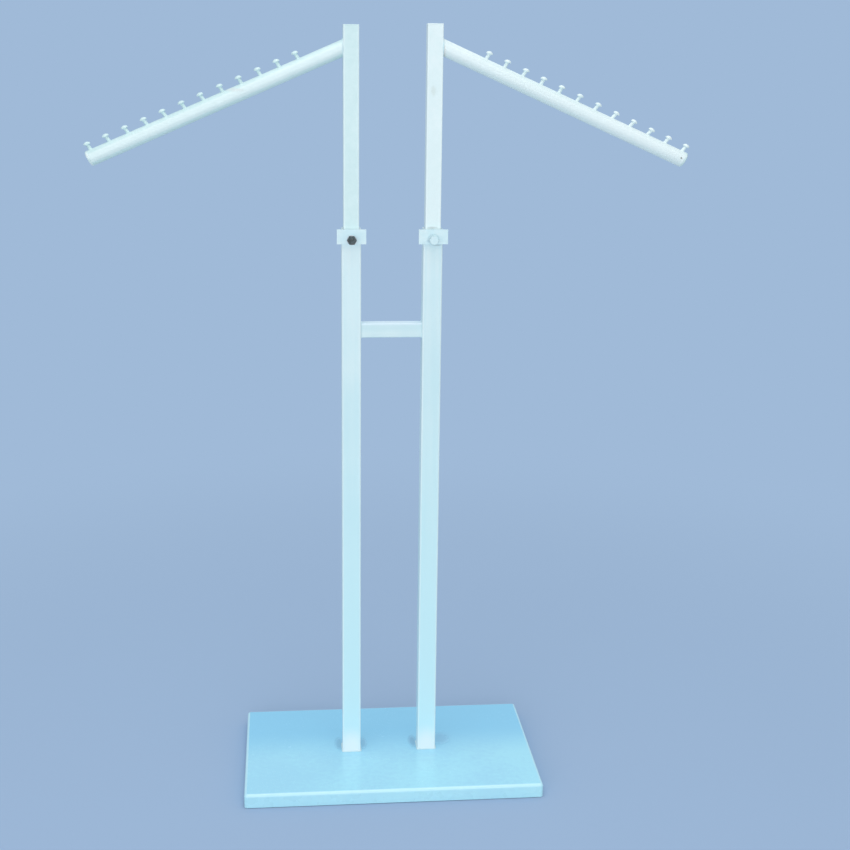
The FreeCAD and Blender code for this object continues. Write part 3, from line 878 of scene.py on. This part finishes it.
@dataclass
class Bolt:
    """An M10 hexagon bolt, made about Z with the underside of its head at Z = 0 and its shank below."""

    name: str
    material: bpy.types.Material
    length: float
    diameter: float = 10 * MM
    pitch: float = 1.5 * MM
    depth: float = 0.55 * MM
    ridge: float = 0.68
    point: float = 1.0 * MM
    point_taper: float = 0.78
    neck: float = 0.3 * MM
    neck_length: float = 1.0 * MM
    plain: float = 2.5 * MM
    head: HexHead = field(default_factory=HexHead)

    def build(self, where: Matrix) -> bpy.types.Object:
        """Make the head and shank, and wind the thread round the shank in a tree.

        Args:
            where: the bolt's place, with its Z pointing out of the head.

        Returns:
            The bolt.
        """
        core = self.diameter / 2 - self.depth
        shank = ((core * self.point_taper, -self.length), (core, -self.length + self.point),
                 (core, -self.neck_length), (core + self.neck, 0.0))
        rings = [circle(radius, height, self.head.segments) for radius, height in shank]
        body = piece(self.name, *skin(rings + self.head.rings(), True, True), self.material, 25.0)
        nodes = Nodes(self.name, Pitch=self.pitch, Core=core, Depth=self.depth,
                      Length=self.length - self.plain, Finish=self.material)
        length, depth = nodes.size("Length"), nodes.size("Depth")
        radius = nodes.size("Core") + depth * (1 - self.ridge)
        helix = nodes.node("GeometryNodeCurveSpiral", {},
                           {"Resolution": 28, "Rotations": length / nodes.size("Pitch"),
                            "Start Radius": radius, "End Radius": radius, "Height": length})
        offset = nodes.node("ShaderNodeCombineXYZ", {}, {"Z": length * -1.0 - self.neck_length})
        lowered = nodes.node("GeometryNodeTransform", {}, {"Geometry": helix, "Translation": offset})
        thread = nodes.tube(lowered, 4, depth * self.ridge)
        made = nodes.run(nodes.join(nodes.size("Geometry"), thread), body, self.name)
        made.data.transform(where)
        return made


@dataclass
class Base:
    """The folded tray on its four glides, with the channels and bolts that hold the posts."""

    palette: Palette
    seam: float = 0.55 * MM
    seam_sink: float = 0.55
    seam_foot: float = 1 * MM
    bead: float = 1.3 * MM
    stitch: float = 22 * MM
    stitches: int = 4
    glide_lip: float = 1.5 * MM
    glide_edge: float = 0.5 * MM
    glide_burr: float = 0.2 * MM
    glide_foot: float = 0.86
    glide_stem: float = 0.4
    stem_taper: Flat = (0.8 * MM, 1.2 * MM)

    def build(self) -> None:
        """Dress the tray and add the glides, the bolts and the seams."""
        dress("base_tray", self.palette.tray)
        for side in Side:
            dress(side.node("base_channel"), self.palette.under)
        dress("base_washers", self.palette.zinc)
        self.glides()
        self.bolts()
        self.corner_seams()
        self.channel_stitches()

    def glides(self) -> None:
        """Set a turned nylon glide at each of the four CAD glides."""
        names = [side.node(f"glide_{end}") for end in ("front", "rear") for side in Side]
        low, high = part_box(names[0])
        radius, lip, edge, burr = (high.x - low.x) / 2, self.glide_lip, self.glide_edge, self.glide_burr
        stem, (thinner, taper) = radius * self.glide_stem, self.stem_taper
        profile = [(radius * self.glide_foot, 0.0), *arc((radius - edge, edge), edge, -60, 0, 3),
                   (radius, lip - burr), (radius - burr, lip), (stem, lip),
                   (stem, high.z - taper), (stem - thinner, high.z)]
        glide = piece("glide_pattern", *lathe(profile, 40), self.palette.nylon)
        places = [Vector((middle(name).x, middle(name).y, 0.0)) for name in names]
        made = copies("glides", glide, paths([(places, False)]), self.palette.nylon)
        fit(made, "stand", "nylon", *names)

    def bolts(self) -> None:
        """Put a bolt up through the base into each post's foot."""
        low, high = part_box("base_bolts")
        head = HexHead()
        for side in Side:
            x = middle(side.node("post_foot")).x
            bolt = Bolt(f"base_bolt_{side.word}", self.palette.zinc, high.z - low.z - head.height)
            seat = Matrix.Translation((x, 0.0, low.z + head.height)) @ Matrix.Rotation(math.pi, 4, "X")
            fit(bolt.build(seat), "stand", "zinc_steel", "base_bolts")

    def corner_seams(self) -> None:
        """Run a dressed weld down each upright corner of the tray."""
        low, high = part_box("base_tray")
        inset = TRAY_CORNER * (1 - math.sqrt(0.5)) + self.seam * self.seam_sink
        levels = (low.z + self.seam_foot, (low.z + high.z) / 2, high.z - TRAY_BEND)
        lines = []
        for x, y in ((low.x, low.y), (high.x, low.y), (high.x, high.y), (low.x, high.y)):
            corner = (x - math.copysign(inset, x), y - math.copysign(inset, y))
            lines.append(([Vector((*corner, level)) for level in levels], False))
        weld("tray_corner_seams", lines, self.seam, self.palette.tray, seed=1)

    def channel_stitches(self) -> None:
        """Stitch each channel to the underside of the tray."""
        lines = []
        for side in Side:
            low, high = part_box(side.node("base_channel"))
            pitch = (high.y - low.y) / self.stitches
            for x in (low.x, high.x):
                for number in range(self.stitches):
                    y = low.y + (number + 0.5) * pitch
                    ends = (y - self.stitch / 2, y + self.stitch / 2)
                    lines.append(([Vector((x, end, high.z)) for end in ends], False))
        weld("channel_stitches", lines, self.bead, self.palette.under, seed=2)


@dataclass
class LowerFrame:
    """The two outer posts on the base and the crossbar that ties them.

    A bead's middle lies off the corner that it fills by a share of the bead's radius.
    """

    palette: Palette
    foot_bead: float = 1.9 * MM
    foot_out: float = 0.15
    bar_bead: float = 1.5 * MM
    off: float = 0.1

    def build(self) -> None:
        """Dress the posts and the crossbar, and weld them."""
        dress("crossbar", self.palette.bar)
        for side in Side:
            dress(side.node("outer_post"), self.palette.post)
            dress(side.node("post_foot"), self.palette.under)
            dress(side.node("guide_bush"), self.palette.nylon)
            self.foot_weld(side)
        self.bar_welds()

    def foot_weld(self, side: Side) -> None:
        """Weld one post's foot to the tray all round.

        Args:
            side: the post's side.
        """
        low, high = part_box(side.node("outer_post"))
        centre = middle(side.node("outer_post"))
        half = (high.x - low.x) / 2 + self.foot_bead * self.foot_out
        level = low.z + self.foot_bead * self.off
        outline = rounded_square(half, half, POST_CORNER)
        line = [Vector((centre.x + x, centre.y + y, level)) for x, y in outline]
        weld(side.node("foot_weld"), [(line, True)], self.foot_bead, self.palette.weld, seed=3)

    def bar_welds(self) -> None:
        """Weld both ends of the crossbar to the posts."""
        low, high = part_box("crossbar")
        centre = middle("crossbar")
        outline = rounded_square((high.y - low.y) / 2, (high.z - low.z) / 2, BAR_CORNER)
        off = self.bar_bead * self.off
        lines = [([Vector((x, centre.y + y, centre.z + z)) for y, z in outline], True)
                 for x in (low.x + off, high.x - off)]
        weld("crossbar_welds", lines, self.bar_bead, self.palette.weld, seed=5)


@dataclass
class Clamp:
    """The clamp near the top of one outer post: plate, weld nut, washer and bolt."""

    palette: Palette
    side: Side
    plate_bead: float = 1.5 * MM
    plate_margin: float = 1.5 * MM
    nut_bead: float = 1.1 * MM
    nut_bore: float = 5.05 * MM
    nut_chamfer: float = 0.6 * MM
    washer_bore: float = 5.3 * MM
    washer_edge: float = 0.3 * MM

    def build(self) -> None:
        """Dress the plate and make the nut, the washer and the bolt."""
        self.plate()
        self.nut()
        self.washer()
        self.bolt()

    def bolt_frame(self, seat: float) -> Matrix:
        """The bolt's place, with Z out to the front; seat is the Y of the piece's own Z = 0."""
        centre = middle(self.side.node("clamp_bolt"))
        return Matrix.Translation((centre.x, seat, centre.z)) @ Matrix.Rotation(math.pi / 2, 4, "X")

    def plate(self) -> None:
        """Dress the plate and weld it down both sides of the post."""
        dress(self.side.node("clamp_plate"), self.palette.fitting)
        low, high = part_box(self.side.node("clamp_plate"))
        ends = (low.z + self.plate_margin, high.z - self.plate_margin)
        lines = [([Vector((edge.x, high.y, end)) for end in ends], False)
                 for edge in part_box(self.side.node("outer_post"))]
        weld(self.side.node("plate_welds"), lines, self.plate_bead, self.palette.weld, seed=7)

    def nut(self) -> None:
        """Make the weld nut and the bead round its foot."""
        low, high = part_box(self.side.node("clamp_nut"))
        shape = HexHead(height=high.y - low.y)
        bore, chamfer = self.nut_bore, self.nut_chamfer
        inside = ((bore + chamfer, shape.height), (bore, shape.height - chamfer), (bore, 0.0))
        rings = shape.rings(chamfer_seat=True)
        rings += [circle(radius, level, shape.segments) for radius, level in inside]
        foot = self.bolt_frame(high.y)
        made = piece(self.side.node("weld_nut"), *skin(rings, loop=True), self.palette.fitting, 25.0)
        made.data.transform(foot)
        fit(made, "stand", "paint", self.side.node("clamp_nut"))
        line = [foot @ point for point in HexHead(segments=36).ring(0.0)]
        weld(self.side.node("nut_weld"), [(line, True)], self.nut_bead, self.palette.weld, seed=8)

    def washer(self) -> None:
        """Make the washer, its edges rounded by the punch."""
        node = self.side.node("clamp_washer")
        low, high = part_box(node)
        radius, thick, bore, edge = (high.x - low.x) / 2, high.y - low.y, self.washer_bore, self.washer_edge
        profile = [(bore, 0.0), (radius, 0.0), (radius, thick - edge), (radius - edge, thick), (bore, thick)]
        rings = [circle(around, level, 56) for around, level in profile]
        material = self.palette.zinc if self.side is Side.LEFT else self.palette.fitting
        made = piece(self.side.node("washer"), *skin(rings, loop=True), material)
        made.data.transform(self.bolt_frame(high.y))
        fit(made, node, "zinc_steel", node)

    def bolt(self) -> None:
        """Make the bolt: dark and bare on the left, painted over on the right."""
        node = self.side.node("clamp_bolt")
        low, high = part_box(node)
        head = HexHead()
        is_bare = self.side is Side.LEFT
        material = self.palette.dark_bolt if is_bare else self.palette.painted_bolt
        bolt = Bolt(self.side.node("bolt"), material, high.y - low.y - head.height)
        made = bolt.build(self.bolt_frame(low.y + head.height))
        fit(made, node, "dark_steel" if is_bare else "paint", node)


@dataclass
class Arm:
    """One round arm: its tube, the weld at its root, the plug in its tip and its row of pegs."""

    palette: Palette
    side: Side
    leans: tuple[int, ...]
    slope: float = 23.5
    root_bead: float = 1.7 * MM
    root_off: float = 0.1
    cap_head: float = 7 * MM
    cap_edge: float = 4.5 * MM
    cap_cant: float = 5.0
    cap_seam: float = 0.5 * MM
    stem_gap: float = 1.7 * MM
    stem_length: float = 14 * MM
    first_peg: float = 90 * MM
    pitch: float = 41 * MM
    rise: float = 16.4 * MM
    root: float = 0.8 * MM
    shank: float = 3.5 * MM
    shank_sink: float = 1.3 * MM
    neck_flare: Flat = (0.7 * MM, 0.8 * MM)
    head: float = 7.1 * MM
    head_edge: float = 0.4 * MM
    rim: float = 2.2 * MM
    dome: float = 3.5 * MM
    head_cant: float = 12.0
    head_shift: float = 0.5 * MM
    peg_bead: float = 1.2 * MM
    bead_sink: float = 1.2 * MM

    def build(self) -> None:
        """Dress the tube and add the weld, the tip and the pegs."""
        dress(self.side.node("arm"), self.paint)
        self.root_weld()
        self.tip()
        self.pegs()
        self.peg_welds()

    @property
    def body(self) -> str:
        """The CAD body that the arm is on."""
        return self.side.node("upper")

    @property
    def paint(self) -> bpy.types.Material:
        """The paint of this side's arm."""
        return self.palette.upper[self.side]

    @property
    def radius(self) -> float:
        """The tube's radius."""
        low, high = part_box(self.side.node("arm"))
        return (high.y - low.y) / 2

    def axes(self, along: float = 0.0) -> Matrix:
        """A place on the arm's axis, with X out along the arm and Z square to it, upwards.

        Args:
            along: the distance from the post's face.

        Returns:
            The place.
        """
        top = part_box(self.side.node("arm"))[1].z
        post_low, post_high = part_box(self.side.node("inner_post"))
        face = post_high.x if self.side is Side.RIGHT else post_low.x
        slope = math.radians(self.slope)
        out = Vector((self.side.value * math.cos(slope), 0.0, -math.sin(slope)))
        up = Vector((self.side.value * math.sin(slope), 0.0, math.cos(slope)))
        start = Vector((face, 0.0, top - self.radius / math.cos(slope)))
        turn = Matrix((out, up.cross(out), up)).transposed().to_4x4()
        return Matrix.Translation(start + out * along) @ turn

    def root_weld(self) -> None:
        """Weld the arm to its post round the slanted end of the tube."""
        off = self.root_bead * self.root_off
        start = self.axes().translation + Vector((self.side.value * off, 0.0, 0.0))
        tall, around = 1 / math.cos(math.radians(self.slope)), circle(self.radius + off, 0.0, 48)
        line = [start + Vector((0.0, point.x, point.y * tall)) for point in around]
        weld(self.side.node("arm_weld"), [(line, True)], self.root_bead, self.palette.weld, self.body, 11)

    def tip(self) -> None:
        """Turn the plug that closes the arm: a stem in the tube and a head with a rounded, canted end."""
        node = self.side.node("arm_end_cap")
        low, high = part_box(node)
        slope, radius, head, edge = math.radians(self.slope), self.radius, self.cap_head, self.cap_edge
        reach = abs(high.x if self.side is Side.RIGHT else low.x) - abs(self.axes().translation.x)
        length = (reach - (radius - edge) * math.sin(slope) - edge) / math.cos(slope) - head + edge
        stem, seam, chamfer, end = radius - self.stem_gap, self.cap_seam, 1 * MM, -self.stem_length
        profile = [(stem - seam, end), (stem, end + chamfer), (stem, 0.0),
                   (radius - seam, 0.0), (radius, seam), *arc((radius - edge, head - edge), edge, 0, 85, 7),
                   *((radius * share, head) for share in (0.45, 0.12))]
        points, faces = lathe(profile, 56)
        cant, flat_below = math.tan(math.radians(self.cap_cant)), seam + 0.1 * MM
        for point in points:
            if point.z > flat_below:
                point.z -= (point.x + radius) * cant * (point.z / head)
        made = piece(self.side.node("arm_plug"), points, faces, self.palette.cap)
        made.data.transform(self.axes(length) @ Matrix.Rotation(math.pi / 2, 4, "Y"))
        fit(made, self.body, "cap_plastic", node)

    def peg(self) -> bpy.types.Object:
        """Turn one mushroom peg, upright, with its head canted towards the horizontal.

        Returns:
            The peg, with the tube's surface at the height of its root.
        """
        top = self.root + self.rise
        neck = top - self.dome - self.rim
        edge, (flare, flare_height) = self.head_edge, self.neck_flare
        ball = (self.head ** 2 + self.dome ** 2) / (2 * self.dome)
        spread = math.degrees(math.asin(self.head / ball))
        chamfer, rim_round, dome_start, dome_end = 0.3 * MM, 0.5 * MM, 0.93, 0.08
        profile = [(self.shank - chamfer, -self.shank_sink), (self.shank, chamfer - self.shank_sink),
                   (self.shank, neck - flare_height), (self.shank + flare, neck),
                   *arc((self.head - edge, neck + edge), edge, -90, 0, 3),
                   (self.head, neck + self.rim - rim_round),
                   *arc((0.0, top - ball), ball, 90 - spread * dome_start, 90 - spread * dome_end, 7)]
        points, faces = lathe(profile, 28)
        turn = (Matrix.Translation((self.head_shift, 0.0, neck))
                @ Matrix.Rotation(-math.radians(self.head_cant), 4, "Y")
                @ Matrix.Translation((0.0, 0.0, -neck)))
        head_from = neck - 0.1 * MM
        points = [turn @ point if point.z > head_from else point for point in points]
        return piece("peg_pattern", points, faces, self.paint, 40.0)

    def pegs(self) -> None:
        """Set the row of mushroom pegs, each leaning to the tip by its own amount."""
        row = []
        for number, lean in enumerate(self.leans):
            start = self.first_peg + number * self.pitch - self.root * math.tan(math.radians(lean))
            row.append(Vector((start, 0.0, self.radius - self.root)))
        places = paths([(row, False)])
        attribute = places.data.attributes.new("lean", "FLOAT", "POINT")
        attribute.data.foreach_set("value", [math.radians(lean) for lean in self.leans])
        made = copies(self.side.node("pegs"), self.peg(), places, self.paint)
        made.data.transform(self.axes())
        names = [f"{self.side.node('peg')}_{number:02d}" for number in range(1, len(self.leans) + 1)]
        fit(made, self.body, "paint", *names)

    def peg_welds(self) -> None:
        """Lay a small fillet of weld round the root of each peg, bent to the tube."""
        foot, bead, tube, sink = self.shank - 0.4 * MM, self.peg_bead, self.radius, self.bead_sink
        outside = self.shank + bead
        hollow = [(outside - bead * math.sin(turn), bead * (1 - math.cos(turn)))
                  for turn in map(math.radians, (20, 45, 70, 90))]
        profile = [(foot, -sink), (outside, 0.3 * MM - sink), (outside, 0.0), *hollow, (foot, bead)]
        ring, faces = lathe(profile, 24)
        lobes, unevenness, shift = 3, 0.07, 40
        points: list[Vector] = []
        panels: list[Face] = []
        for number, lean in enumerate(self.leans):
            start = self.first_peg + number * self.pitch
            panels += [tuple(index + len(points) for index in face) for face in faces]
            for point in ring:
                turn = math.atan2(point.y, point.x)
                swell = 1 + unevenness * math.sin(lobes * turn + math.radians(lean * shift))
                y = point.y * swell
                drop = math.sqrt(tube ** 2 - y ** 2) - tube
                slide = point.z * math.tan(math.radians(lean))
                points.append(Vector((start + point.x * swell + slide, y, tube + point.z + drop)))
        made = piece(self.side.node("peg_welds"), points, panels, self.paint, 50.0)
        made.data.transform(self.axes())
        fit(made, self.body, "paint")


@dataclass
class Upright:
    """One inner post with its welded cap, its slider and its arm."""

    palette: Palette
    side: Side
    arm: Arm
    corner: float = 2 * MM
    least_corner: float = 0.5 * MM
    edge: float = 0.8 * MM
    groove: float = 0.3 * MM
    crown: float = 0.1 * MM

    def build(self) -> None:
        """Dress the post and make its cap and its arm."""
        dress(self.side.node("inner_post"), self.palette.upper[self.side])
        dress(self.side.node("post_slider"), self.palette.nylon)
        self.cap()
        self.arm.build()

    def cap(self) -> None:
        """Make the cap plate, its top edges rounded and its foot ground almost flush."""
        node = self.side.node("post_cap")
        low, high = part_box(node)
        centre, half = middle(node), (high.x - low.x) / 2
        levels = [(self.groove, low.z), (0.0, low.z + self.groove)]
        levels += [(self.edge - x, high.z - self.edge + z) for x, z in arc((0.0, 0.0), self.edge, 0, 90, 4)]
        levels.append((half * 0.5, high.z + self.crown))
        rings = []
        for inset, level in levels:
            outline = rounded_square(half - inset, half - inset, max(self.corner - inset, self.least_corner))
            rings.append([Vector((centre.x + x, centre.y + y, level)) for x, y in outline])
        made = piece(self.side.node("top_plate"), *skin(rings, True, True), self.palette.upper[self.side])
        fit(made, self.side.node("upper"), "paint", node)


# ---------------------------------------------------------------- studio


@dataclass(frozen=True)
class Lamp:
    """One soft rectangular lamp."""

    name: str
    place: Point
    target: Point
    size: Flat
    power: float

    def build(self) -> None:
        """Hang the lamp and turn it to its target."""
        light = bpy.data.lights.new(self.name, "AREA")
        light.shape = "RECTANGLE"
        light.size, light.size_y = self.size
        light.energy = self.power
        lamp = bpy.data.objects.new(self.name, light)
        lamp.location = self.place
        lamp.rotation_euler = (Vector(self.target) - Vector(self.place)).to_track_quat("-Z", "Y").to_euler()
        bpy.context.scene.collection.objects.link(lamp)


@dataclass
class Studio:
    """A pale floor that runs into a background of its own colour, soft lamps, and the camera."""

    floor_colour: Colour = linear(160, 186, 216)
    bounce_colour: Colour = linear(194, 206, 216)
    sky_light: float = 0.68
    camera_place: Point = (-0.2258, -2.9475, 1.5518)
    yaw: float = -5.807
    pitch: float = 14.573
    roll: float = 0.727
    lens: float = 60.64
    sensor: float = 36.0
    floor_radius: float = 40.0
    fade_start: float = 0.9
    fade_end: float = 2.6
    lamps: tuple[Lamp, ...] = (
        Lamp("front", (-0.9, -4.8, 0.9), (0.0, 0.0, 0.7), (5.0, 2.6), 86.0),
        Lamp("top", (-0.2, -1.0, 5.0), (0.0, 0.0, 0.0), (3.4, 2.8), 60.0),
        Lamp("back", (0.9, 2.6, 4.4), (0.0, 0.0, 0.6), (3.0, 2.4), 16.0),
    )

    def build(self) -> None:
        """Build the floor, the light and the camera."""
        self.floor()
        self.world()
        for lamp in self.lamps:
            lamp.build()
        self.camera()
        bpy.context.scene.view_settings.view_transform = "Standard"

    def floor(self) -> None:
        """Lay a round, pale floor, which is lit near the stand and plain far from it."""
        shader = Shader("floor")
        seen = self.seen(shader)
        colour = shader.mix(seen, self.bounce_colour, self.floor_colour)
        lit = shader.node("ShaderNodeBsdfDiffuse", {}, {"Color": colour, "Roughness": 0.5})
        plain = shader.node("ShaderNodeEmission", {}, {"Color": self.floor_colour, "Strength": 1.0})
        far = shader.place.length().step(self.fade_start, self.fade_end)
        shader.close(shader.node("ShaderNodeMixShader", {}, {0: seen * far, 1: lit, 2: plain}))
        points = circle(self.floor_radius, 0.0, 96)
        piece("floor", points, [tuple(range(len(points)))], shader.material)

    def seen(self, shader: Shader) -> Wire:
        """Tell light that goes to the camera, straight or by a reflection, from the rest.

        Args:
            shader: the material.

        Returns:
            1 for light that goes to the camera, 0 for the rest.
        """
        rays = [shader.node("ShaderNodeLightPath", {}, {}, output=f"Is {kind} Ray")
                for kind in ("Camera", "Glossy", "Transmission")]
        return rays[0].most(rays[1]).most(rays[2])

    def world(self) -> None:
        """Light the room evenly, and show the background's own colour behind the stand."""
        world = bpy.data.worlds.new("room")
        bpy.context.scene.world = world
        shader = Shader("room", world)
        light = shader.node("ShaderNodeBackground", {},
                            {"Color": (1.0, 1.0, 1.0), "Strength": self.sky_light})
        shown = shader.node("ShaderNodeBackground", {}, {"Color": self.floor_colour, "Strength": 1.0})
        shader.close(shader.node("ShaderNodeMixShader", {}, {0: self.seen(shader), 1: light, 2: shown}))

    def camera(self) -> None:
        """Set up the camera."""
        data = bpy.data.cameras.new("camera")
        data.lens = self.lens
        data.sensor_width = self.sensor
        camera = bpy.data.objects.new("camera", data)
        camera.location = self.camera_place
        turn = (Matrix.Rotation(math.radians(self.yaw), 3, "Z")
                @ Matrix.Rotation(math.radians(90 - self.pitch), 3, "X")
                @ Matrix.Rotation(math.radians(self.roll), 3, "Z"))
        camera.rotation_euler = turn.to_euler()
        bpy.context.scene.collection.objects.link(camera)
        bpy.context.scene.camera = camera


# ---------------------------------------------------------------- where the finishes change


def tube_edges(stem: str) -> Mask:
    """Make a mask of the four long edges of both square posts, where a painted highlight goes.

    Args:
        stem: the name of the posts' nodes, without their side.

    Returns:
        A function that adds the mask to a material: 1 on the edges, 0 on the flats.
    """
    low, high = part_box(Side.LEFT.node(stem))
    half, spacing = (high.x - low.x) / 2, abs((high.x + low.x) / 2)

    def mask(shader: Shader) -> Wire:
        """Add the mask."""
        across = abs(abs(shader.axis("X")) - spacing)
        return across.least(abs(shader.axis("Y"))).step(half - 4 * MM, half - 1.5 * MM)
    return mask


def tray_bend(shader: Shader) -> Wire:
    """Add a mask of the tray's bend, and half as much of its rim, where a painted highlight goes.

    Args:
        shader: the material.

    Returns:
        1 on the bend, about 0.5 on the upright rim, 0 on the flat top.
    """
    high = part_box("base_tray")[1]
    inwards_x = abs(shader.axis("X")) - (high.x - TRAY_BEND)
    inwards_y = abs(shader.axis("Y")) - (high.y - TRAY_BEND)
    past = inwards_x.most(inwards_y).step(-0.5 * MM, 2.5 * MM)
    return past * (shader.axis("Z").step(high.z - TRAY_BEND - 2 * MM, high.z - TRAY_BEND * 0.5) * 0.5 + 0.5)


def along(axis: str, start: float, end: float) -> Mask:
    """Make a mask that rises from 0 at start to 1 at end, along an axis."""
    return lambda shader: shader.axis(axis).step(start, end)


@dataclass
class Marks:
    """The stains, grey marks, painted shadows and painted highlights in the paint, each at its place on the
    stand.
    """

    post_x: float
    tray_top: float

    def spot(self, side: Side, off: Flat, level: float, reach: Point, colour: Colour, *look: float) -> Spot:
        """Put a spot near one post.

        Args:
            side: the post's side.
            off: its place in X and Y from the middle of the post, in millimetres.
            level: its height in metres.
            reach: its reach in X, Y and Z, in millimetres.
            colour: its colour.
            look: its strength, and how ragged it is if that isn't the usual.

        Returns:
            The spot.
        """
        x, y = mm(*off)
        return Spot((side.value * self.post_x + x, y, level), mm(*reach), colour, *look)

    def posts(self) -> tuple[Spot, ...]:
        """The painted light at the foot of both outer posts and the painted shadow under the right plate.

        Returns:
            The spots.
        """
        # Painted light at each outer post's foot; a painted shadow just under the right clamp plate.
        feet = tuple(self.spot(side, (0, -10), self.tray_top, (50, 60, 74), linear(238, 251, 253), 1.0, 0.1)
                     for side in Side)
        return *feet, self.spot(Side.RIGHT, (7, -20), 1.169, (14, 9, 3), PLATE_SHADOW_GREY, 0.4, 0.4)

    def smears(self) -> tuple[Spot, ...]:
        """Three grey spots in a diagonal line across the right bolt and plate."""
        return tuple(self.spot(Side.RIGHT, (x, -30), level, (6, 18, 6), linear(158, 182, 196), 0.35, 0.3)
                     for x, level in ((-10, 1.179), (-7, 1.184), (-4, 1.189)))

    def plates(self) -> tuple[Spot, ...]:
        """The painted shade over the left plate, the grey diagonal spots on the right one, and painted grey
        shade round and below the dark bolt.

        Returns:
            The spots.
        """
        return (self.spot(Side.LEFT, (0, -24), 1.186, (52, 20, 30), linear(196, 230, 242), 0.5, 0.2),
                *self.smears(),
                self.spot(Side.LEFT, (0, -26), 1.178, (20, 6, 16), linear(214, 222, 222), 0.5, 0.4))

    def left_arm(self) -> tuple[Spot, ...]:
        """A grey patch on the left post, below the arm."""
        return (Spot((-0.312, *mm(-6), 1.476), mm(30, 20, 6), linear(208, 214, 214), 0.6),)

    def right_upper(self) -> tuple[Spot, ...]:
        """The marks on the right inner post, with a painted shadow in the gap just above the clamp plate,
        and the dark dot at the right arm's tip.

        Returns:
            The spots.
        """
        return (self.spot(Side.RIGHT, (-3, -16), 1.478, (8, 12, 14), linear(206, 220, 216), 0.5, 0.5),
                # Painted shadow in the gap just above the clamp plate.
                self.spot(Side.RIGHT, (-2, -16), 1.204, (15, 8, 4), linear(172, 186, 186), 0.5, 0.4),
                self.spot(Side.RIGHT, (18, -8), 1.556, (5, 16, 17), linear(214, 200, 186), 0.6),
                Spot((0.597, *mm(-15), 1.348), mm(3.2, 6, 2.8), linear(112, 100, 86), 0.85, 0.4))

    def tray(self) -> tuple[Spot, ...]:
        """The soft shades beside the posts' feet.

        Returns:
            The spots.
        """
        top = self.tray_top
        return (self.spot(Side.LEFT, (-27, 20), top, (13, 40, 9), linear(112, 162, 192), 0.45, 0.3),
                self.spot(Side.LEFT, (27, 20), top, (12, 38, 9), linear(124, 172, 204), 0.4, 0.3),
                self.spot(Side.RIGHT, (-28, 20), top, (13, 40, 9), linear(108, 150, 180), 0.5, 0.3),
                self.spot(Side.RIGHT, (36, 30), top, (32, 40, 9), linear(130, 180, 214), 0.4, 0.3))


def enamel(name: str, **look: Any) -> bpy.types.Material:
    """Build a paint in the stand's common white; look holds any other fields of Paint."""
    return Paint(name, WHITE, WHITE_SHADE, **look).build()


def palette() -> Palette:
    """Build every material.

    Returns:
        The palette.
    """
    marks = Marks(middle("outer_post_right").x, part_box("base_tray")[1].z)
    bar_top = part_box("crossbar")[1].z
    # The left upper paint is a darker copy of the right one's white: painted shade.
    paint_left, shade_left = linear(212, 237, 239), linear(203, 231, 233)
    paint_right, shade_right = linear(230, 245, 247), linear(222, 241, 243)
    # A painted highlight along the inner posts' long edges.
    upper_edges = tube_edges("inner_post")
    return Palette(
        # Outer posts: a painted highlight on the long edges, and a painted cyan cast of floor bounce light
        # towards the bottom.
        post=enamel("post_paint", run=Run.UPRIGHT, spots=marks.posts(), edges=tube_edges("outer_post"),
                    fade=along("Z", 1.15, 0.25), faded=linear(203, 243, 252)),
        # Crossbar: a painted highlight along its top edge.
        bar=enamel("bar_paint", run=Run.ACROSS, gloss=0.44, coat=0.08, rubbed=0.75,
                   edges=along("Z", bar_top - 5 * MM, bar_top - 1 * MM), edge_colour=linear(224, 243, 255)),
        fitting=enamel("fitting_paint", spots=marks.plates()),
        upper={Side.LEFT: Paint("upper_paint_left", paint_left, shade_left,
                                spots=marks.left_arm(), edges=upper_edges).build(),
               Side.RIGHT: Paint("upper_paint_right", paint_right, shade_right,
                                 spots=marks.right_upper(), edges=upper_edges).build()},
        # Tray: a painted highlight on the bend and rim, and painted shade darkening it towards the rear.
        tray=Paint("tray_paint", TRAY_BLUE, TRAY_SHADE, gloss=0.24, coat=0.5, grime=0.16, spots=marks.tray(),
                   edges=tray_bend, edge_colour=linear(198, 242, 254), rubbed=0.8,
                   fade=along("Y", -0.07, 0.09), faded=linear(142, 212, 246)).build(),
        under=Paint("under_paint", WHITE_SHADE, linear(178, 190, 194),
                    gloss=0.5, coat=0.0, grime=0.6).build(),
        weld=enamel("weld_paint", gloss=0.4, coat=0.1, grime=0.05),
        painted_bolt=enamel("bolt_paint", gloss=0.4, grime=0.05, spots=marks.smears()),
        dark_bolt=Steel("dark_bolt", linear(92, 102, 102), linear(56, 66, 66), RUST,
                        rusty=0.25, roughness=0.5, metal=0.5).build(),
        zinc=Steel("zinc_plate", linear(206, 210, 212), linear(168, 174, 178), linear(196, 192, 180),
                   rusty=0.3, roughness=0.34).build(),
        nylon=Plastic("nylon", linear(230, 236, 238), linear(216, 226, 230),
                      roughness=0.5, translucency=0.15).build(),
        cap=Plastic("cap_plastic", paint_right, shade_left, roughness=0.36).build(),
    )


# How far each peg leans to the arm's tip, in degrees off square, from the post outwards.
LEFT_LEANS = (9, 6, 5, 6, 6, 12, 11, 13, 12, 11, 12, 8)
RIGHT_LEANS = (6, 4, 7, 4, 5, 9, 15, 19, 19, 20, 15, 15)


def main() -> None:
    """Build the stand and its studio."""
    logging.basicConfig(level=logging.INFO, format="%(message)s")
    Studio().build()
    finishes = palette()
    Base(finishes).build()
    LowerFrame(finishes).build()
    for side, leans in ((Side.LEFT, LEFT_LEANS), (Side.RIGHT, RIGHT_LEANS)):
        Clamp(finishes, side).build()
        Upright(finishes, side, Arm(finishes, side, leans)).build()


if __name__ == "__main__":
    main()
